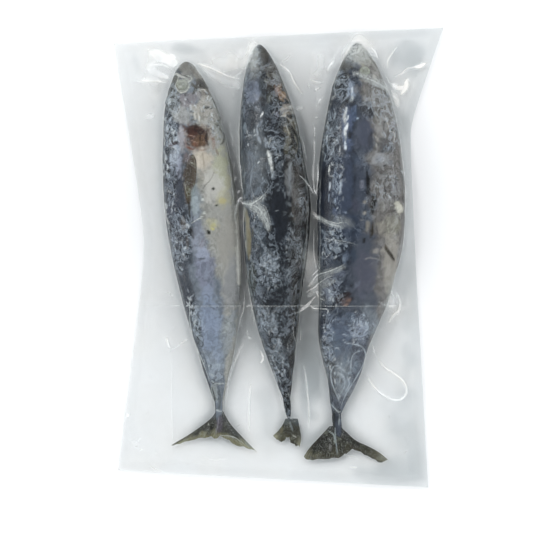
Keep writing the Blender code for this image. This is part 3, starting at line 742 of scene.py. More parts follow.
MIDDLE_PATCHES = (
    Patch((-19.5, 156), (4.7, 10.3), 0, "a4a5a0", 0.8),
    Patch((-10.5, 159), (4, 8.7), -12, "36312a"),
    Patch((-1, 142), (7.9, 17.4), -18, "4b4032"),
    Patch((-6.5, 146.5), (4, 7.1), 0, "8a887c", 0.6),
    Patch((-20, 129), (6.3, 11.1), 0, "66738a", 0.9),
    Patch((-11.5, 120.5), (4.7, 12.6), 0, "33404c", 0.8),
    Patch((0.5, 132.5), (2.4, 3.6), 0, "9c7d5e", 0.8),
    Patch((3.5, 127), (2.8, 3.2), 0, "b08a5c", 0.9),
    Patch((7.5, 115.5), (7.1, 4.7), 10, "b3aa9b", 0.9),
    Patch((10.5, 102.5), (5.5, 7.1), -15, "8f8770", 0.8),
    Patch((13, 90.5), (6.3, 14.2), -14, "34321f", 0.9),
    Patch((7.5, 91), (2.8, 11.1), -12, "6a654f", 0.8),
    Patch((-19.5, 97), (7.1, 20.5), 0, "46535f", 0.8),
    Patch((-2, 74.5), (5.5, 22.1), 0, "28313d"),
    Patch((-20, 69), (6.3, 20.5), 0, "5a6878", 0.85),
    Patch((8.5, 63), (4, 14.2), 0, "85888b", 0.8),
    Patch((17, 65), (4.7, 19), 0, "45403b", 0.8),
    Patch((-0.5, 36), (5.5, 26.9), 0, "242d3a"),
    Patch((14, 41.5), (4, 17.4), 0, "6b6864", 0.8),
    Patch((20, 33.5), (4, 20.5), 0, "38332f", 0.8),
    Patch((-24, 17), (2.4, 17.4), 0, "a09b80", 0.9),
    Patch((-14.5, 25.5), (5.5, 23.7), 0, "475462", 0.8),
    Patch((-21, -19.5), (4, 14.2), 0, "49534b", 0.8),
    Patch((-6, -8.5), (7.9, 15.8), 0, "5d6874", 0.7),
    Patch((14.5, -3.5), (4.7, 11.1), 0, "2b2a27", 0.9),
    Patch((17, -6.5), (3.2, 4.7), 0, "6e6c72", 0.8),
    Patch((-8.5, -49.5), (8.7, 11.1), 0, "73808c", 0.7),
    Patch((5, -33.5), (6.3, 20.5), 0, "262f3a", 0.8),
    Patch((4.5, -70), (4, 7.9), 0, "1e252b", 0.9),
    Patch((-2, -78), (6.3, 15.8), 0, "5f6c76", 0.7),
    Patch((6.5, -114), (3.6, 9.5), 0, "151917", 0.9),
)

MIDDLE_FROSTED = (
    Cloud((-2, 85), (7, 27), 0, 0.6),
    Cloud((-19, 82), (9, 34), 0, 0.2),
    Cloud((0, 36), (6, 24), 0, 0.15),
    Cloud((-7, -8), (9, 17), 0, 0.75),
    Cloud((-8, -49), (10, 13), 0, 0.8),
    Cloud((-3, -81), (9, 22), 0, 0.65),
    Cloud((11, 93), (7, 19), -14, 0.4),
    Cloud((9, 56), (7, 26), 0, 0.25),
    Cloud((-24, 17), (3, 19), 0, 0),
    Cloud((-21, 131), (6, 11), 0, 0.35),
    Cloud((-11, 159), (5, 9), 0, 0.1),
    Cloud((-19, 156), (6, 10), 0, 0.6),
)

MIDDLE_SPECKLED = (
    Cloud((-3, 140), (9, 21), -18, 0.9),
    Cloud((-20, 129), (6, 11), 0, 0.5),
    Cloud((13, 90), (7, 16), -14, 1),
    Cloud((15, -4), (7, 19), 0, 1),
    Cloud((-19, 97), (7, 21), 0, 0.45),
    Cloud((-24, 17), (3, 19), 0, 0),
    Cloud((-20, -19), (6, 16), 0, 0.9),
    Cloud((7, -114), (5, 11), 0, 0.8),
)

MIDDLE_FLECKED = (
    Cloud((-3, 88), (8, 26), 0, 46),
    Cloud((-20, 100), (6, 28), 0, 28),
    Cloud((12, 100), (7, 24), -14, 30),
    Cloud((-6, -8), (9, 18), 0, 40),
    Cloud((-9, -48), (9, 14), 0, 34),
    Cloud((-1, -85), (6, 24), 0, 34),
    Cloud((8, 30), (5, 30), 0, 16),
)

MIDDLE_FISH = Fish(
    name="middle_fish",
    spine=((-15.4, 167.9), (-8.3, 108.6), (-1.3, 45.4), (-2.4, -33.6), (0, -65.2),
           (6.5, -112.6), (9.9, -141.8)),
    half_depth=27 * MM,
    half_height=23.5 * MM,
    snout_power=0.58,
    back_rise=0,
    gill_step=0,
    tail_left=((5.5, -127), (2.5, -133), (-4.3, -141.6)),
    tail_trailing=((-4.3, -141.6), (-0.5, -143.6), (2.8, -144.8), (6, -142.6),
                   (8, -141.2), (9.6, -145.6), (12.5, -147.4), (16.5, -149.6)),
    tail_right=((15.2, -127), (17, -136), (17.8, -143), (16.5, -149.6)),
    skin=Skin(
        left="46525f", between="242c37", right="302f2d", under="b4b6b4",
        first_edge=((0, -0.3), (0.15, -0.1), (0.3, -0.3), (0.5, -0.45), (0.75, -0.5),
                    (1, -0.4)),
        second_edge=((0, 0.2), (0.2, 0.45), (0.4, 0.35), (0.7, 0.6), (1, 0.7)),
        softness=0.14,
        frost=0.5,
        speckle=0.6,
        dim=0.62,
        strokes=MIDDLE_STROKES,
        patches=MIDDLE_PATCHES,
        frosted=MIDDLE_FROSTED,
        speckled=MIDDLE_SPECKLED,
        flecked=MIDDLE_FLECKED,
    ),
)

# The right fish: strokes, laid over flecks, which are laid over patches
RIGHT_STROKES = (
    Stroke(((60, 162.5), (62.5, 157.5)), 3.4, "a9a9a1", 0.7),
    Stroke(((55, 161), (56.5, 163)), 0.5, "4c4b46"),
    Stroke(((58, 156.5), (58, 152)), 0.9, "2e2d29", 0.95),
    Stroke(((54.5, 150.5), (58, 148.5)), 1.6, "3b3a34", 0.95),
    Stroke(((66, 151), (69, 147)), 1.6, "8f8d7a"),
    Stroke(((67, 148.5), (70.5, 145)), 0.8, "77745c"),
    Stroke(((68, 161), (72.5, 155.5), (77.5, 148.5), (80, 143.5)), 0.6, "6d6c66"),
    Stroke(((74, 142.5), (76.5, 139)), 1.4, "b1aea2"),
    Stroke(((63.5, 139), (70.5, 137)), 1.2, "8a8880"),
    Stroke(((53, 146), (51, 140), (46, 135.5)), 2.6, "2c3134", 0.95),
    Stroke(((44, 134.5), (46, 130), (43.5, 129.5)), 2.2, "343b40"),
    Stroke(((54, 142.5), (54.5, 140)), 0.5, "8d9697"),
    Stroke(((47, 139), (47.5, 135.5)), 0.5, "848d90"),
    Stroke(((51, 134.5), (50.5, 127.5), (45, 124)), 2.6, "202b37", 0.95),
    Stroke(((55.5, 139), (55.5, 133)), 1.2, "7f8ea2"),
    # Painted highlight: a pale glint of the film on the skin
    Stroke(((57.5, 133), (56.5, 126.5)), 0.9, "c9d3de", 0.95),
    Stroke(((55.5, 129.5), (57.5, 124)), 1.2, "8495aa"),
    Stroke(((61, 134.5), (60, 128.5)), 2.4, "65666a"),
    Stroke(((64.5, 130), (67, 126.5)), 1.6, "55534f"),
    Stroke(((72.5, 129.5), (74, 122)), 2.6, "8a867f", 0.7),
    Stroke(((54.5, 122), (47.5, 118.5), (42.5, 120.5)), 3.4, "1c2734", 0.95),
    Stroke(((41.5, 111.5), (43.5, 101)), 3.4, "25313d"),
    Stroke(((40, 115), (40.5, 108)), 0.6, "7d8b96"),
    Stroke(((43.5, 116), (44, 111.5), (43, 108)), 0.4, "93a1ab"),
    Stroke(((39.5, 104), (38, 99.5)), 0.9, "8f9ca5"),
    Stroke(((45, 103), (46, 100.5)), 0.5, "8796a1"),
    Stroke(((60, 118.5), (58, 111.5)), 1.6, "5b7496"),
    Stroke(((58, 117), (59, 106.5)), 2.2, "415777"),
    Stroke(((55, 92.5), (55.5, 97.5)), 2.2, "1d2530", 0.95),
    Stroke(((67, 106.5), (66, 97.5), (68, 89)), 3.6, "434b5e", 0.95),
    Stroke(((62, 101), (60, 89)), 3, "4a5365"),
    Stroke(((64.5, 116), (69, 112.5), (71.5, 115)), 2.2, "35363c", 0.95),
    Stroke(((66, 120.5), (70.5, 118)), 1.6, "5c5a5a"),
    Stroke(((72.5, 97.5), (70.5, 87)), 2, "3c404b"),
    # Painted highlight: the next six pale strokes are the film's glint streak down this fish's back
    Stroke(((53, 117), (52, 111.5)), 0.6, "d5dfe9"),
    Stroke(((54.5, 111), (53, 106.5)), 0.7, "dbe5ee", 0.95),
    Stroke(((54, 104.5), (52, 99.5), (51.5, 95)), 1.2, "eef4f8", 0.95),
    Stroke(((51.5, 90.5), (52, 83.5)), 0.9, "d5e0ea", 0.95),
    Stroke(((50.5, 87), (53, 89)), 0.5, "a8bacb"),
    Stroke(((62, 109), (61, 107.5)), 0.5, "9fb3c9"),
    Stroke(((74, 118.5), (76.5, 111.5), (77.5, 103)), 2.6, "87857f"),
    Stroke(((81, 118.5), (79.5, 111.5)), 1.6, "66645f"),
    Stroke(((77.5, 118.5), (81, 115), (83, 117)), 0.5, "a8a49b"),
    Stroke(((74, 125.5), (81, 126.5), (84.5, 124)), 0.5, "5f5d59"),
    Stroke(((86.5, 111.5), (90, 106.5)), 2.2, "8b8984"),
    Stroke(((83, 110), (85.5, 103), (84.5, 99.5)), 0.6, "aba79e"),
    Stroke(((85.5, 98.5), (90, 97.5), (90.5, 92.5), (89, 89)), 0.5, "b7b4ab"),
    Stroke(((81, 106.5), (82, 101), (81, 97.5)), 0.5, "5d5b58"),
    Stroke(((81, 86), (86.5, 85.5), (79.5, 82.5)), 2.4, "54575d", 0.95),
    Stroke(((74, 95), (76.5, 92.5), (76, 85.5)), 0.6, "a9a79f"),
    Stroke(((81, 77.5), (76, 75)), 3, "8b9097"),
    Stroke(((81, 77.5), (83, 76.5)), 1.2, "b7bcc0"),
    Stroke(((86.5, 75), (88, 71.5)), 2.2, "74777c"),
    Stroke(((92.5, 101), (93.5, 94)), 0.7, "5a5955"),
    Stroke(((94, 75), (95, 68.5)), 0.8, "4d4c49"),
    Stroke(((38, 90.5), (36.5, 85.5)), 1.6, "232f3c"),
    Stroke(((45, 93.5), (46, 89), (42.5, 85.5), (43.5, 80)), 0.5, "93a0aa"),
    Stroke(((35.5, 90.5), (39, 89), (38, 86)), 0.5, "8795a0"),
    Stroke(((33.5, 83.5), (36.5, 80), (35.5, 75.5), (39, 75)), 0.5, "8795a0"),
    Stroke(((42.5, 75), (47.5, 76.5)), 3.4, "2d3d53"),
    Stroke(((58, 80), (62, 73)), 3.4, "3c4a5f"),
    Stroke(((37, 70.5), (35.5, 62.5), (34.5, 50.5)), 2.8, "141c28", 0.95),
    Stroke(((34.5, 44), (36.5, 36)), 2.6, "182231", 0.95),
    Stroke(((44, 68), (43.5, 55.5), (41.5, 46.5)), 2.2, "33435b"),
    Stroke(((42.5, 38), (45, 32)), 2.4, "415271"),
    Stroke(((54, 66), (54, 54), (53, 44)), 4, "34425a"),
    Stroke(((59, 45), (60, 35.5)), 3, "42465a"),
    Stroke(((58, 32), (59, 24), (55.5, 17)), 3.2, "26354a"),
    Stroke(((58, 6.5), (58, -2.5)), 3, "2f3e52"),
    Stroke(((40.5, 11.5), (42.5, 4.5), (35.5, 8)), 2.6, "2b3949"),
    # Painted highlight: the next four pale strokes are glints of the film low on this fish's back
    Stroke(((40, 59), (39.5, 52)), 0.6, "c9d4e0"),
    Stroke(((39, 49.5), (39, 43)), 0.5, "8ea0b5"),
    Stroke(((48, 65), (47.5, 61)), 0.7, "a8bacd"),
    Stroke(((47, 58), (48.5, 56.5), (48, 52)), 0.6, "b5c5d5"),
    Stroke(((44, 46), (44, 42.5)), 0.5, "8fa3ba"),
    Stroke(((46, 39), (46, 37.5)), 0.6, "c9d6e2", 0.95),
    Stroke(((51, 35.5), (53, 34.5)), 0.8, "8597b0"),
    Stroke(((64.5, 60), (64.5, 54)), 0.8, "767c8d"),
    Stroke(((91.5, 59), (90, 52)), 2.6, "85868a", 0.7),
    Stroke(((74, 57.5), (77.5, 54), (76, 49.5)), 0.6, "9b9a93"),
    Stroke(((77.5, 61.5), (76, 57.5), (77.5, 55.5)), 0.9, "5f5f5e"),
    Stroke(((84.5, 62.5), (83.5, 58)), 0.9, "5a5a59"),
    Stroke(((68.5, 67), (69, 60), (70.5, 50.5)), 1, "0f1116", 0.95),
    Stroke(((71, 49.5), (75.5, 47.5), (74, 39.5), (72.5, 34.5)), 0.8, "1a1815", 0.95),
    Stroke(((72.5, 31), (72.5, 20.5), (71.5, 15)), 0.8, "3a3126"),
    Stroke(((66, 46.5), (68, 38), (64.5, 29)), 0.6, "a49f93"),
    Stroke(((69.5, 29), (69, 20.5)), 1.2, "8f8b80"),
    Stroke(((65.5, 16), (66, 11.5)), 0.7, "0c0f14", 0.95),
    Stroke(((95, 68), (97.5, 59), (97.5, 46.5)), 0.9, "4c4b48", 0.95),
    Stroke(((97.5, 49.5), (97.5, 43)), 1.2, "37352f", 0.95),
    Stroke(((81, 43), (81, 36)), 2, "9a9a94", 0.7),
    Stroke(((93.5, 41.5), (96, 38), (94, 35.5)), 1.8, "c5c3b4", 0.95),
    Stroke(((94, 27.5), (91.5, 20.5)), 2.6, "8a8878"),
    Stroke(((81, 27.5), (79.5, 18.5)), 2.6, "a39e93"),
    Stroke(((72.5, 24), (72.5, 17)), 0.9, "2f2814", 0.95),
    Stroke(((82, 10), (85.5, 6.5)), 0.9, "54493a"),
    Stroke(((85.5, 5.5), (88, 2), (90.5, -2)), 1.1, "241c0c", 0.95),
    Stroke(((98.5, 20.5), (99.5, 11.5), (98.5, 3)), 0.7, "c7c5bb"),
    Stroke(((99, -0.5), (100, -3.5)), 0.9, "dcdad2"),
    Stroke(((77.5, 6.5), (74, 4.5)), 2.4, "94918c"),
    Stroke(((74, -2.5), (75, -9.5)), 3.2, "5d606b"),
    Stroke(((67, -4), (69, -0.5), (77.5, -1.5), (81, -6), (79.5, -11)), 0.5, "8d8c8d"),
    Stroke(((86.5, -6), (84.5, -14.5)), 2.6, "a19d95"),
    Stroke(((93.5, -8.5), (94, -16.5)), 0.6, "bdb9ae"),
    Stroke(((33.5, 21.5), (35.5, 18.5), (39, 17)), 0.7, "8493a1"),
    Stroke(((36.5, 20.5), (42.5, 19.5), (41.5, 17)), 0.5, "8493a1"),
    Stroke(((41.5, 6.5), (44, 5)), 0.6, "96a4af"),
    Stroke(((33, 1), (34.5, -1.5)), 0.6, "96a4af"),
    Stroke(((53, 4.5), (51, -4)), 2.4, "4a5a70"),
    Stroke(((50.5, 0), (51, -2.5)), 1.2, "6f8193"),
    Stroke(((47, -11), (51, -14.5)), 2.6, "414a5e"),
    Stroke(((43.5, -17.5), (41.5, -21.5), (33.5, -23.5)), 1, "222a38"),
    Stroke(((56.5, -20), (56, -23.5)), 1, "222a38"),
    Stroke(((62.5, -19), (60, -23.5)), 2, "5e6678"),
    Stroke(((67, -13), (72.5, -18)), 3.4, "4c5062"),
    Stroke(((45, -32), (51, -29), (56.5, -28.5)), 2.4, "2c2226", 0.95),
    Stroke(((53, -34), (56, -33)), 1.2, "77594a"),
    Stroke(((51, -37.5), (54, -36.5)), 1, "8d7264", 0.8),
    Stroke(((64.5, -28.5), (66.5, -33)), 3, "4a5064", 0.7),
    Stroke(((39.5, -44.5), (44, -53.5)), 3.6, "425064"),
    Stroke(((39.5, -59), (45, -67), (44, -76)), 4.2, "4b5d72"),
    Stroke(((54, -44.5), (60, -51)), 4.2, "4c5e75"),
    *alike((
        ((60, -47.5), (58.5, -53.5), (62, -55.5)), ((62, -49), (65.5, -52), (66.5, -58)),
        ((69, -51), (70, -55.5), (66.5, -59)), ((73.5, -51), (75.5, -54.5)),
        ((57.5, -51), (60, -56.5), (63.5, -59)), ((49.5, -60), (53, -61)),
    ), 0.5, "a3b1bf"),
    Stroke(((34.5, -45), (35.5, -45.5)), 0.5, "c1ccd4"),
    Stroke(((34.5, -54.5), (36, -55.5)), 0.5, "c1ccd4"),
    *alike((
        ((34.5, -62), (36.5, -62.5)), ((35, -70.5), (36, -71)), ((42, -58), (44, -59)),
    ), 0.5, "b3bec7"),
    *alike((
        ((38.5, -70.5), (39.5, -73.5)), ((44, -71.5), (46.5, -70.5), (47.5, -72.5)),
        ((35, -77.5), (37.5, -78)), ((42, -81.5), (43.5, -80.5)), ((37.5, -86), (39, -86.5)),
    ), 0.5, "aab6bf"),
    Stroke(((53, -75), (51, -85)), 1.6, "54677c"),
    Stroke(((61, -80.5), (60, -89.5)), 1.6, "5f7080"),
    Stroke(((43, -103), (46.5, -112)), 1.2, "1f2a33"),
    Stroke(((50.5, -64.5), (53, -67), (62, -68.5), (66.5, -71.5), (68.5, -78), (65.5, -86), (60, -96),
           (53, -107.5), (49.5, -116.5)), 0.55, "a9b6c0"),
    Stroke(((56.5, -89.5), (51, -88.5), (46.5, -85), (43, -86), (41, -91.5), (42.5, -100.5),
           (46.5, -110), (48.5, -115.5)), 0.5, "a9b6c0"),
    Stroke(((56.5, -89.5), (57, -82.5), (58.5, -76), (65.5, -72.5)), 0.5, "a9b6c0"),
    Stroke(((45, -94), (47.5, -91.5), (51, -94), (52, -100.5), (48.5, -107.5)), 0.5, "aebbc4"),
    Stroke(((49, -95), (49.5, -99.5)), 0.6, "26333e"),
    Stroke(((54, -94), (55.5, -99.5), (53, -105)), 0.5, "a9b6c0"),
    Stroke(((41, -115.5), (46.5, -121), (49.5, -122)), 0.5, "b1bbbb"),
    Stroke(((44, -121), (43.5, -130), (44, -134.5)), 1.3, "2c3336", 0.95),
    Stroke(((41, -117.5), (41, -134.5)), 0.5, "8f9a9b"),
    Stroke(((48, -123.5), (47.5, -132.5)), 0.5, "8f9a9b"),
    Stroke(((38.5, -143.5), (31.5, -149.5), (27, -155)), 3, "24241f", 0.95),
    Stroke(((39.5, -139), (34, -144.5)), 2, "1c1c17"),
    Stroke(((24, -157), (28.5, -158.5)), 1.4, "3f3f38"),
    Stroke(((40.5, -149.5), (39.5, -156)), 2.2, "333029"),
    Stroke(((40.5, -147), (41, -152.5)), 1.4, "6b6a68"),
    Stroke(((51, -141.5), (49.5, -154)), 2.6, "2f2e28", 0.95),
    Stroke(((55.5, -141.5), (60, -148)), 2.2, "272820", 0.95),
    Stroke(((64.5, -148), (71, -152.5)), 1.8, "35352a", 0.95),
    Stroke(((73.5, -154), (80, -157)), 1.4, "4f4e3f"),
    Stroke(((61, -154), (69, -156), (73.5, -159.5)), 0.8, "1f201a", 0.95),
    Stroke(((80, -157), (84.5, -159)), 1.4, "84847a"),
    Stroke(((78, -160.5), (84.5, -162), (87.5, -160)), 0.7, "24251f", 0.95),
    Stroke(((39, -136.5), (43.5, -140), (44, -146)), 0.5, "a5afae"),
    Stroke(((44.5, -134.5), (45, -143.5), (46.5, -156)), 0.6, "97a1a4"),
)

RIGHT_PATCHES = (
    Patch((67.5, 157.5), (11.1, 8.7), 0, "a5a59c", 0.9),
    Patch((51, 149.5), (4, 10.3), 24, "3a3932", 0.9),
    Patch((66, 146), (4.7, 4), 0, "88886b", 0.9),
    Patch((78.5, 149.5), (5.5, 9.5), -20, "92908a", 0.8),
    Patch((48.5, 132.5), (6.3, 14.2), 14, "2a323d", 0.9),
    Patch((57.5, 130.5), (4, 8.7), 0, "7f90a5", 0.9),
    Patch((74.5, 126), (10.3, 11.1), 0, "8c8a85", 0.8),
    Patch((69, 115), (6.3, 7.1), 0, "3c404b", 0.9),
    Patch((86.5, 115), (6.3, 15.8), -12, "8d8b87", 0.8),
    Patch((39, 95), (6.3, 20.5), 8, "323c48", 0.8),
    Patch((53.5, 100.5), (4.7, 20.5), 0, "45597c", 0.9),
    Patch((67, 96), (7.1, 13.4), 0, "474e60"),
    Patch((80, 100.5), (4.7, 11.1), 0, "8f8e8b", 0.8),
    Patch((84, 87.5), (7.1, 6.3), 0, "5c5c5d", 0.9),
    Patch((78.5, 75.5), (7.9, 7.1), 0, "939597", 0.9),
    Patch((36.5, 49.5), (4.7, 25.3), 0, "1a2335", 0.95),
    Patch((51, 53.5), (7.9, 28.4), 0, "35435c", 0.9),
    Patch((63, 57.5), (4.7, 20.5), 0, "3f495b", 0.8),
    Patch((69.5, 58), (1.4, 10.3), 0, "14161b"),
    Patch((73, 41.5), (2.1, 8.7), -10, "34302b"),
    Patch((83.5, 53.5), (9.5, 15.8), 0, "7e7b77", 0.8),
    Patch((93.5, 39), (4, 5.5), 10, "c9c7b5", 0.9),
    Patch((86.5, 25), (8.7, 11.1), 0, "908e80", 0.9),
    Patch((53.5, 25.5), (11.1, 14.2), 0, "344259", 0.8),
    Patch((40.5, 9), (9.5, 12.6), 0, "2d3a4c", 0.8),
    Patch((67, -11.5), (10.3, 17.4), 0, "4e5263", 0.9),
    Patch((87.5, -3.5), (7.1, 26.9), 0, "98948a", 0.9),
    Patch((86, 3.5), (1.4, 7.9), 34, "3a3420"),
    Patch((73, -51), (7, 19), 20, "74808b", 0.8),
    Patch((50, -33.5), (7.5, 5.5), -10, "2c2326", 0.9),
    Patch((52.5, -34.5), (4, 4), -10, "58494a", 0.9),
    Patch((41.5, -21.5), (8.7, 12.6), 0, "474f61", 0.8),
    Patch((46, -61), (11.1, 19), 0, "4c5d75", 0.9),
    Patch((64.5, -57.5), (6.3, 11.9), 0, "7f8ca0", 0.8),
    Patch((51, -93), (7.9, 17.4), -4, "707f8e", 0.85),
    Patch((45.5, -124.5), (4, 11.1), 0, "39404a", 0.9),
    Patch((67, 13), (1, 2.4), 0, "1f2124"),
    Patch((88, 36), (6, 1.6), 12, "4a463f", 0.8),
)

RIGHT_FROSTED = (
    Cloud((38, 95), (6, 22), 8, 1),
    Cloud((49, 131), (7, 16), 14, 0.8),
    Cloud((66, 156), (11, 8), 0, 0.35),
    Cloud((79, 120), (14, 19), 0, 0.75),
    Cloud((90, 101), (8, 24), -10, 0.8),
    Cloud((67, 96), (7, 13), 0, 0),
    Cloud((47, 61), (6, 16), 0, 0.8),
    Cloud((36, 45), (4, 24), 0, 0.15),
    Cloud((56, 53), (7, 27), 0, 0.1),
    Cloud((84, 53), (11, 17), 0, 0.55),
    Cloud((42, 12), (11, 14), 0, 0.7),
    Cloud((66, -4), (11, 24), 0, 0),
    Cloud((87, -4), (7, 27), 0, 0.2),
    Cloud((63, -54), (9, 13), 0, 1),
    Cloud((45, -61), (9, 19), 0, 0.25),
    Cloud((39, -68), (6, 24), 0, 0.75),
    Cloud((53, -95), (9, 16), 0, 0.5),
    Cloud((44, -26), (9, 11), 0, 0.6),
)

RIGHT_SPECKLED = (
    Cloud((38, 95), (6, 22), 8, 0.9),
    Cloud((49, 131), (7, 16), 14, 0.9),
    Cloud((80, 120), (14, 19), 0, 0.6),
    Cloud((67, 96), (7, 13), 0, 0),
    Cloud((56, 45), (9, 32), 0, 0.15),
    Cloud((84, 53), (11, 17), 0, 0.7),
    Cloud((66, -4), (11, 24), 0, 0),
    Cloud((87, -4), (7, 27), 0, 0.15),
    Cloud((42, 14), (9, 13), 0, 0.6),
    Cloud((49, -65), (11, 24), 0, 0.3),
    Cloud((39, -68), (6, 24), 0, 0.7),
)

RIGHT_FLECKED = (
    Cloud((40, 100), (7, 28), 8, 52),
    Cloud((49, 132), (7, 14), 14, 30),
    Cloud((47, 62), (6, 20), 0, 24),
    Cloud((42, 12), (9, 16), 0, 34),
    Cloud((40, -30), (7, 14), 0, 16),
    Cloud((40, -68), (5, 24), 0, 24),
    Cloud((82, 115), (12, 18), 0, 26),
    Cloud((88, 60), (8, 24), 0, 18),
    Cloud((62, -55), (8, 14), 0, 22),
    Cloud((50, -96), (8, 16), 0, 26),
)

RIGHT_FISH = Fish(
    name="right_fish",
    spine=((62, 169.5), (64.9, 108.6), (64.4, 13.8), (59.2, -33.6), (51.7, -65.2),
           (50.9, -96.8), (45, -124.4), (50.2, -156)),
    half_depth=35 * MM,
    half_height=24 * MM,
    snout_power=0.64,
    back_rise=0.12,
    gill_step=0.35,
    tail_left=((40.3, -133), (31, -142.9), (24.3, -150.5), (19.8, -158.2)),
    tail_trailing=((19.8, -158.2), (23.3, -159.6), (34.8, -158.4), (43.4, -157.8),
                   (51, -156.3), (55.7, -152.4), (61, -151.9), (70.1, -156.3),
                   (74.8, -159.1), (81.5, -161.4), (87.4, -160.2)),
    tail_right=((48.6, -133), (60.5, -143.9), (70.1, -148.6), (79.6, -153.8),
                (87.4, -160.2)),
    skin=Skin(
        left="26303f", between="454e5d", right="73706d", under="a6a8a8",
        first_edge=((0, 0), (0.2, -0.1), (0.4, -0.15), (0.6, -0.3), (1, -0.8)),
        second_edge=((0, 0.05), (0.15, 0.15), (0.35, 0.25), (0.5, 0.3), (0.62, 0.55),
                     (0.8, 1.3), (1, 1.4)),
        softness=0.12,
        frost=0.35,
        speckle=0.4,
        dim=0.86,
        strokes=RIGHT_STROKES,
        patches=RIGHT_PATCHES,
        frosted=RIGHT_FROSTED,
        speckled=RIGHT_SPECKLED,
        flecked=RIGHT_FLECKED,
    ),
)
SHOAL = (LEFT_FISH, MIDDLE_FISH, RIGHT_FISH)

# The film's milky haze, and glare painted on it as white haze, cloud by cloud
FILM_HAZE_AND_GLARE = (
    Cloud((62, 160), (13, 10), 0, 0.34),
    Cloud((47, -92), (9, 20), 10, 0.14),
    Cloud((63, 164), (15, 11), 0, 0.45),
    Cloud((-21, 158), (7, 15), 0, 0.5),
    Cloud((-73, 137), (6, 7), 0, 0.2),
    Cloud((90, -34), (6, 15), 10, 0.4),
    Cloud((50, 28), (8, 4), -25, 0.25),
    Cloud((-17, 73), (8, 27), 0, 0.1),
    Cloud((26, -11), (6, 19), 15, 0.22),
    Cloud((-42, 153), (15, 11), 0, 0.4),
    Cloud((-100, 147), (14, 18), 0, 0.35),
    Cloud((34, 153), (10, 15), 0, 0.35),
    Cloud((-51, 85), (5, 24), 0, 0.05),
)

# Places where shade is painted into the film, as if it hung over its own shade
SHADED_FILM = (
    Cloud((104, 50), (8, 55), 0, 0.4),
    Cloud((100, -142), (30, 44), 0, 0.34),
    Cloud((-9, -122), (14, 38), 0, 0.3),
    Cloud((25, -90), (9, 40), 0, 0.72),
    Cloud((-42, 161), (20, 7), 0, 0.2),
    Cloud((106, 160), (22, 20), 0, 0.42),
    Cloud((101, 106), (8, 18), 8, 0.44),
    Cloud((112, -60), (15, 90), 0, 0.36),
    Cloud((92, -172), (48, 18), 0, 0.42),
    Cloud((-94, 133), (9, 6), -30, 0.32),
    Cloud((-76, 166), (16, 6), 0, 0.4),
    Cloud((-112, 153), (5, 15), 20, 0.3),
)

# Painted highlights: broad soft glare on the film and glints on the fish's backs, laid on as white haze
SHEENS = (
    Sheen(((89.5, 137), (94, 134), (98, 132.5)), 2.2, 0.95),
    Sheen(((101, 140), (100, 134), (97, 129)), 2.4, 0.95),
    Sheen(((95, 133), (98, 135)), 2, 0.95),
    Sheen(((53, 117), (51.5, 110), (52, 103)), 1.6, 0.5),
    Sheen(((52, 99), (52, 91)), 1.3, 0.35),
    Sheen(((57.5, 127), (57, 121)), 1.3, 0.35),
    Sheen(((39.5, 71.5), (39, 64)), 0.8, 0.5),
    Sheen(((-12, 113), (-14.5, 109)), 0.9, 0.6),
    Sheen(((-8.5, 83), (-7, 77), (-5, 67)), 1.6, 0.5),
    Sheen(((-6, 93), (-8, 88)), 0.9, 0.4),
    Sheen(((-27, 42), (-19, 42), (-11, 48)), 3, 0.4),
    Sheen(((-24, 41), (-14, 36), (-8, 22)), 4, 0.36),
    Sheen(((29, 32), (38, 27), (50, 23)), 2.4, 0.24),
    Sheen(((24, -22), (34, -14), (51, -8)), 3, 0.28),
    Sheen(((24, -30), (33, -22), (44, -18)), 3.2, 0.22),
    Sheen(((60, 144), (76, 138), (90, 128), (95, 118)), 4, 0.34),
    Sheen(((7, 118), (14, 117), (19, 118)), 2, 0.3),
    Sheen(((-60, 152), (-46, 143), (-30, 134)), 6, 0.35),
    Sheen(((-100, 161), (-91, 158), (-80, 151)), 5.5, 0.6),
    Sheen(((-104, 149), (-97, 146), (-87, 141.5)), 3, 0.6),
    Sheen(((-104, 110), (-98, 112)), 3, 0.35),
    Sheen(((-119.5, -124), (-118.5, -125)), 1.8, 0.9),
    Sheen(((-112.5, -149), (-112, -149.5)), 1, 0.8),
    Sheen(((-109, -151), (-108, -151.5)), 1, 0.8),
    Sheen(((108, 150), (112, 151), (116, 153.5)), 1.6, 0.85),
    Sheen(((27, 160), (34, 140), (30, 118)), 5, 0.25),
)
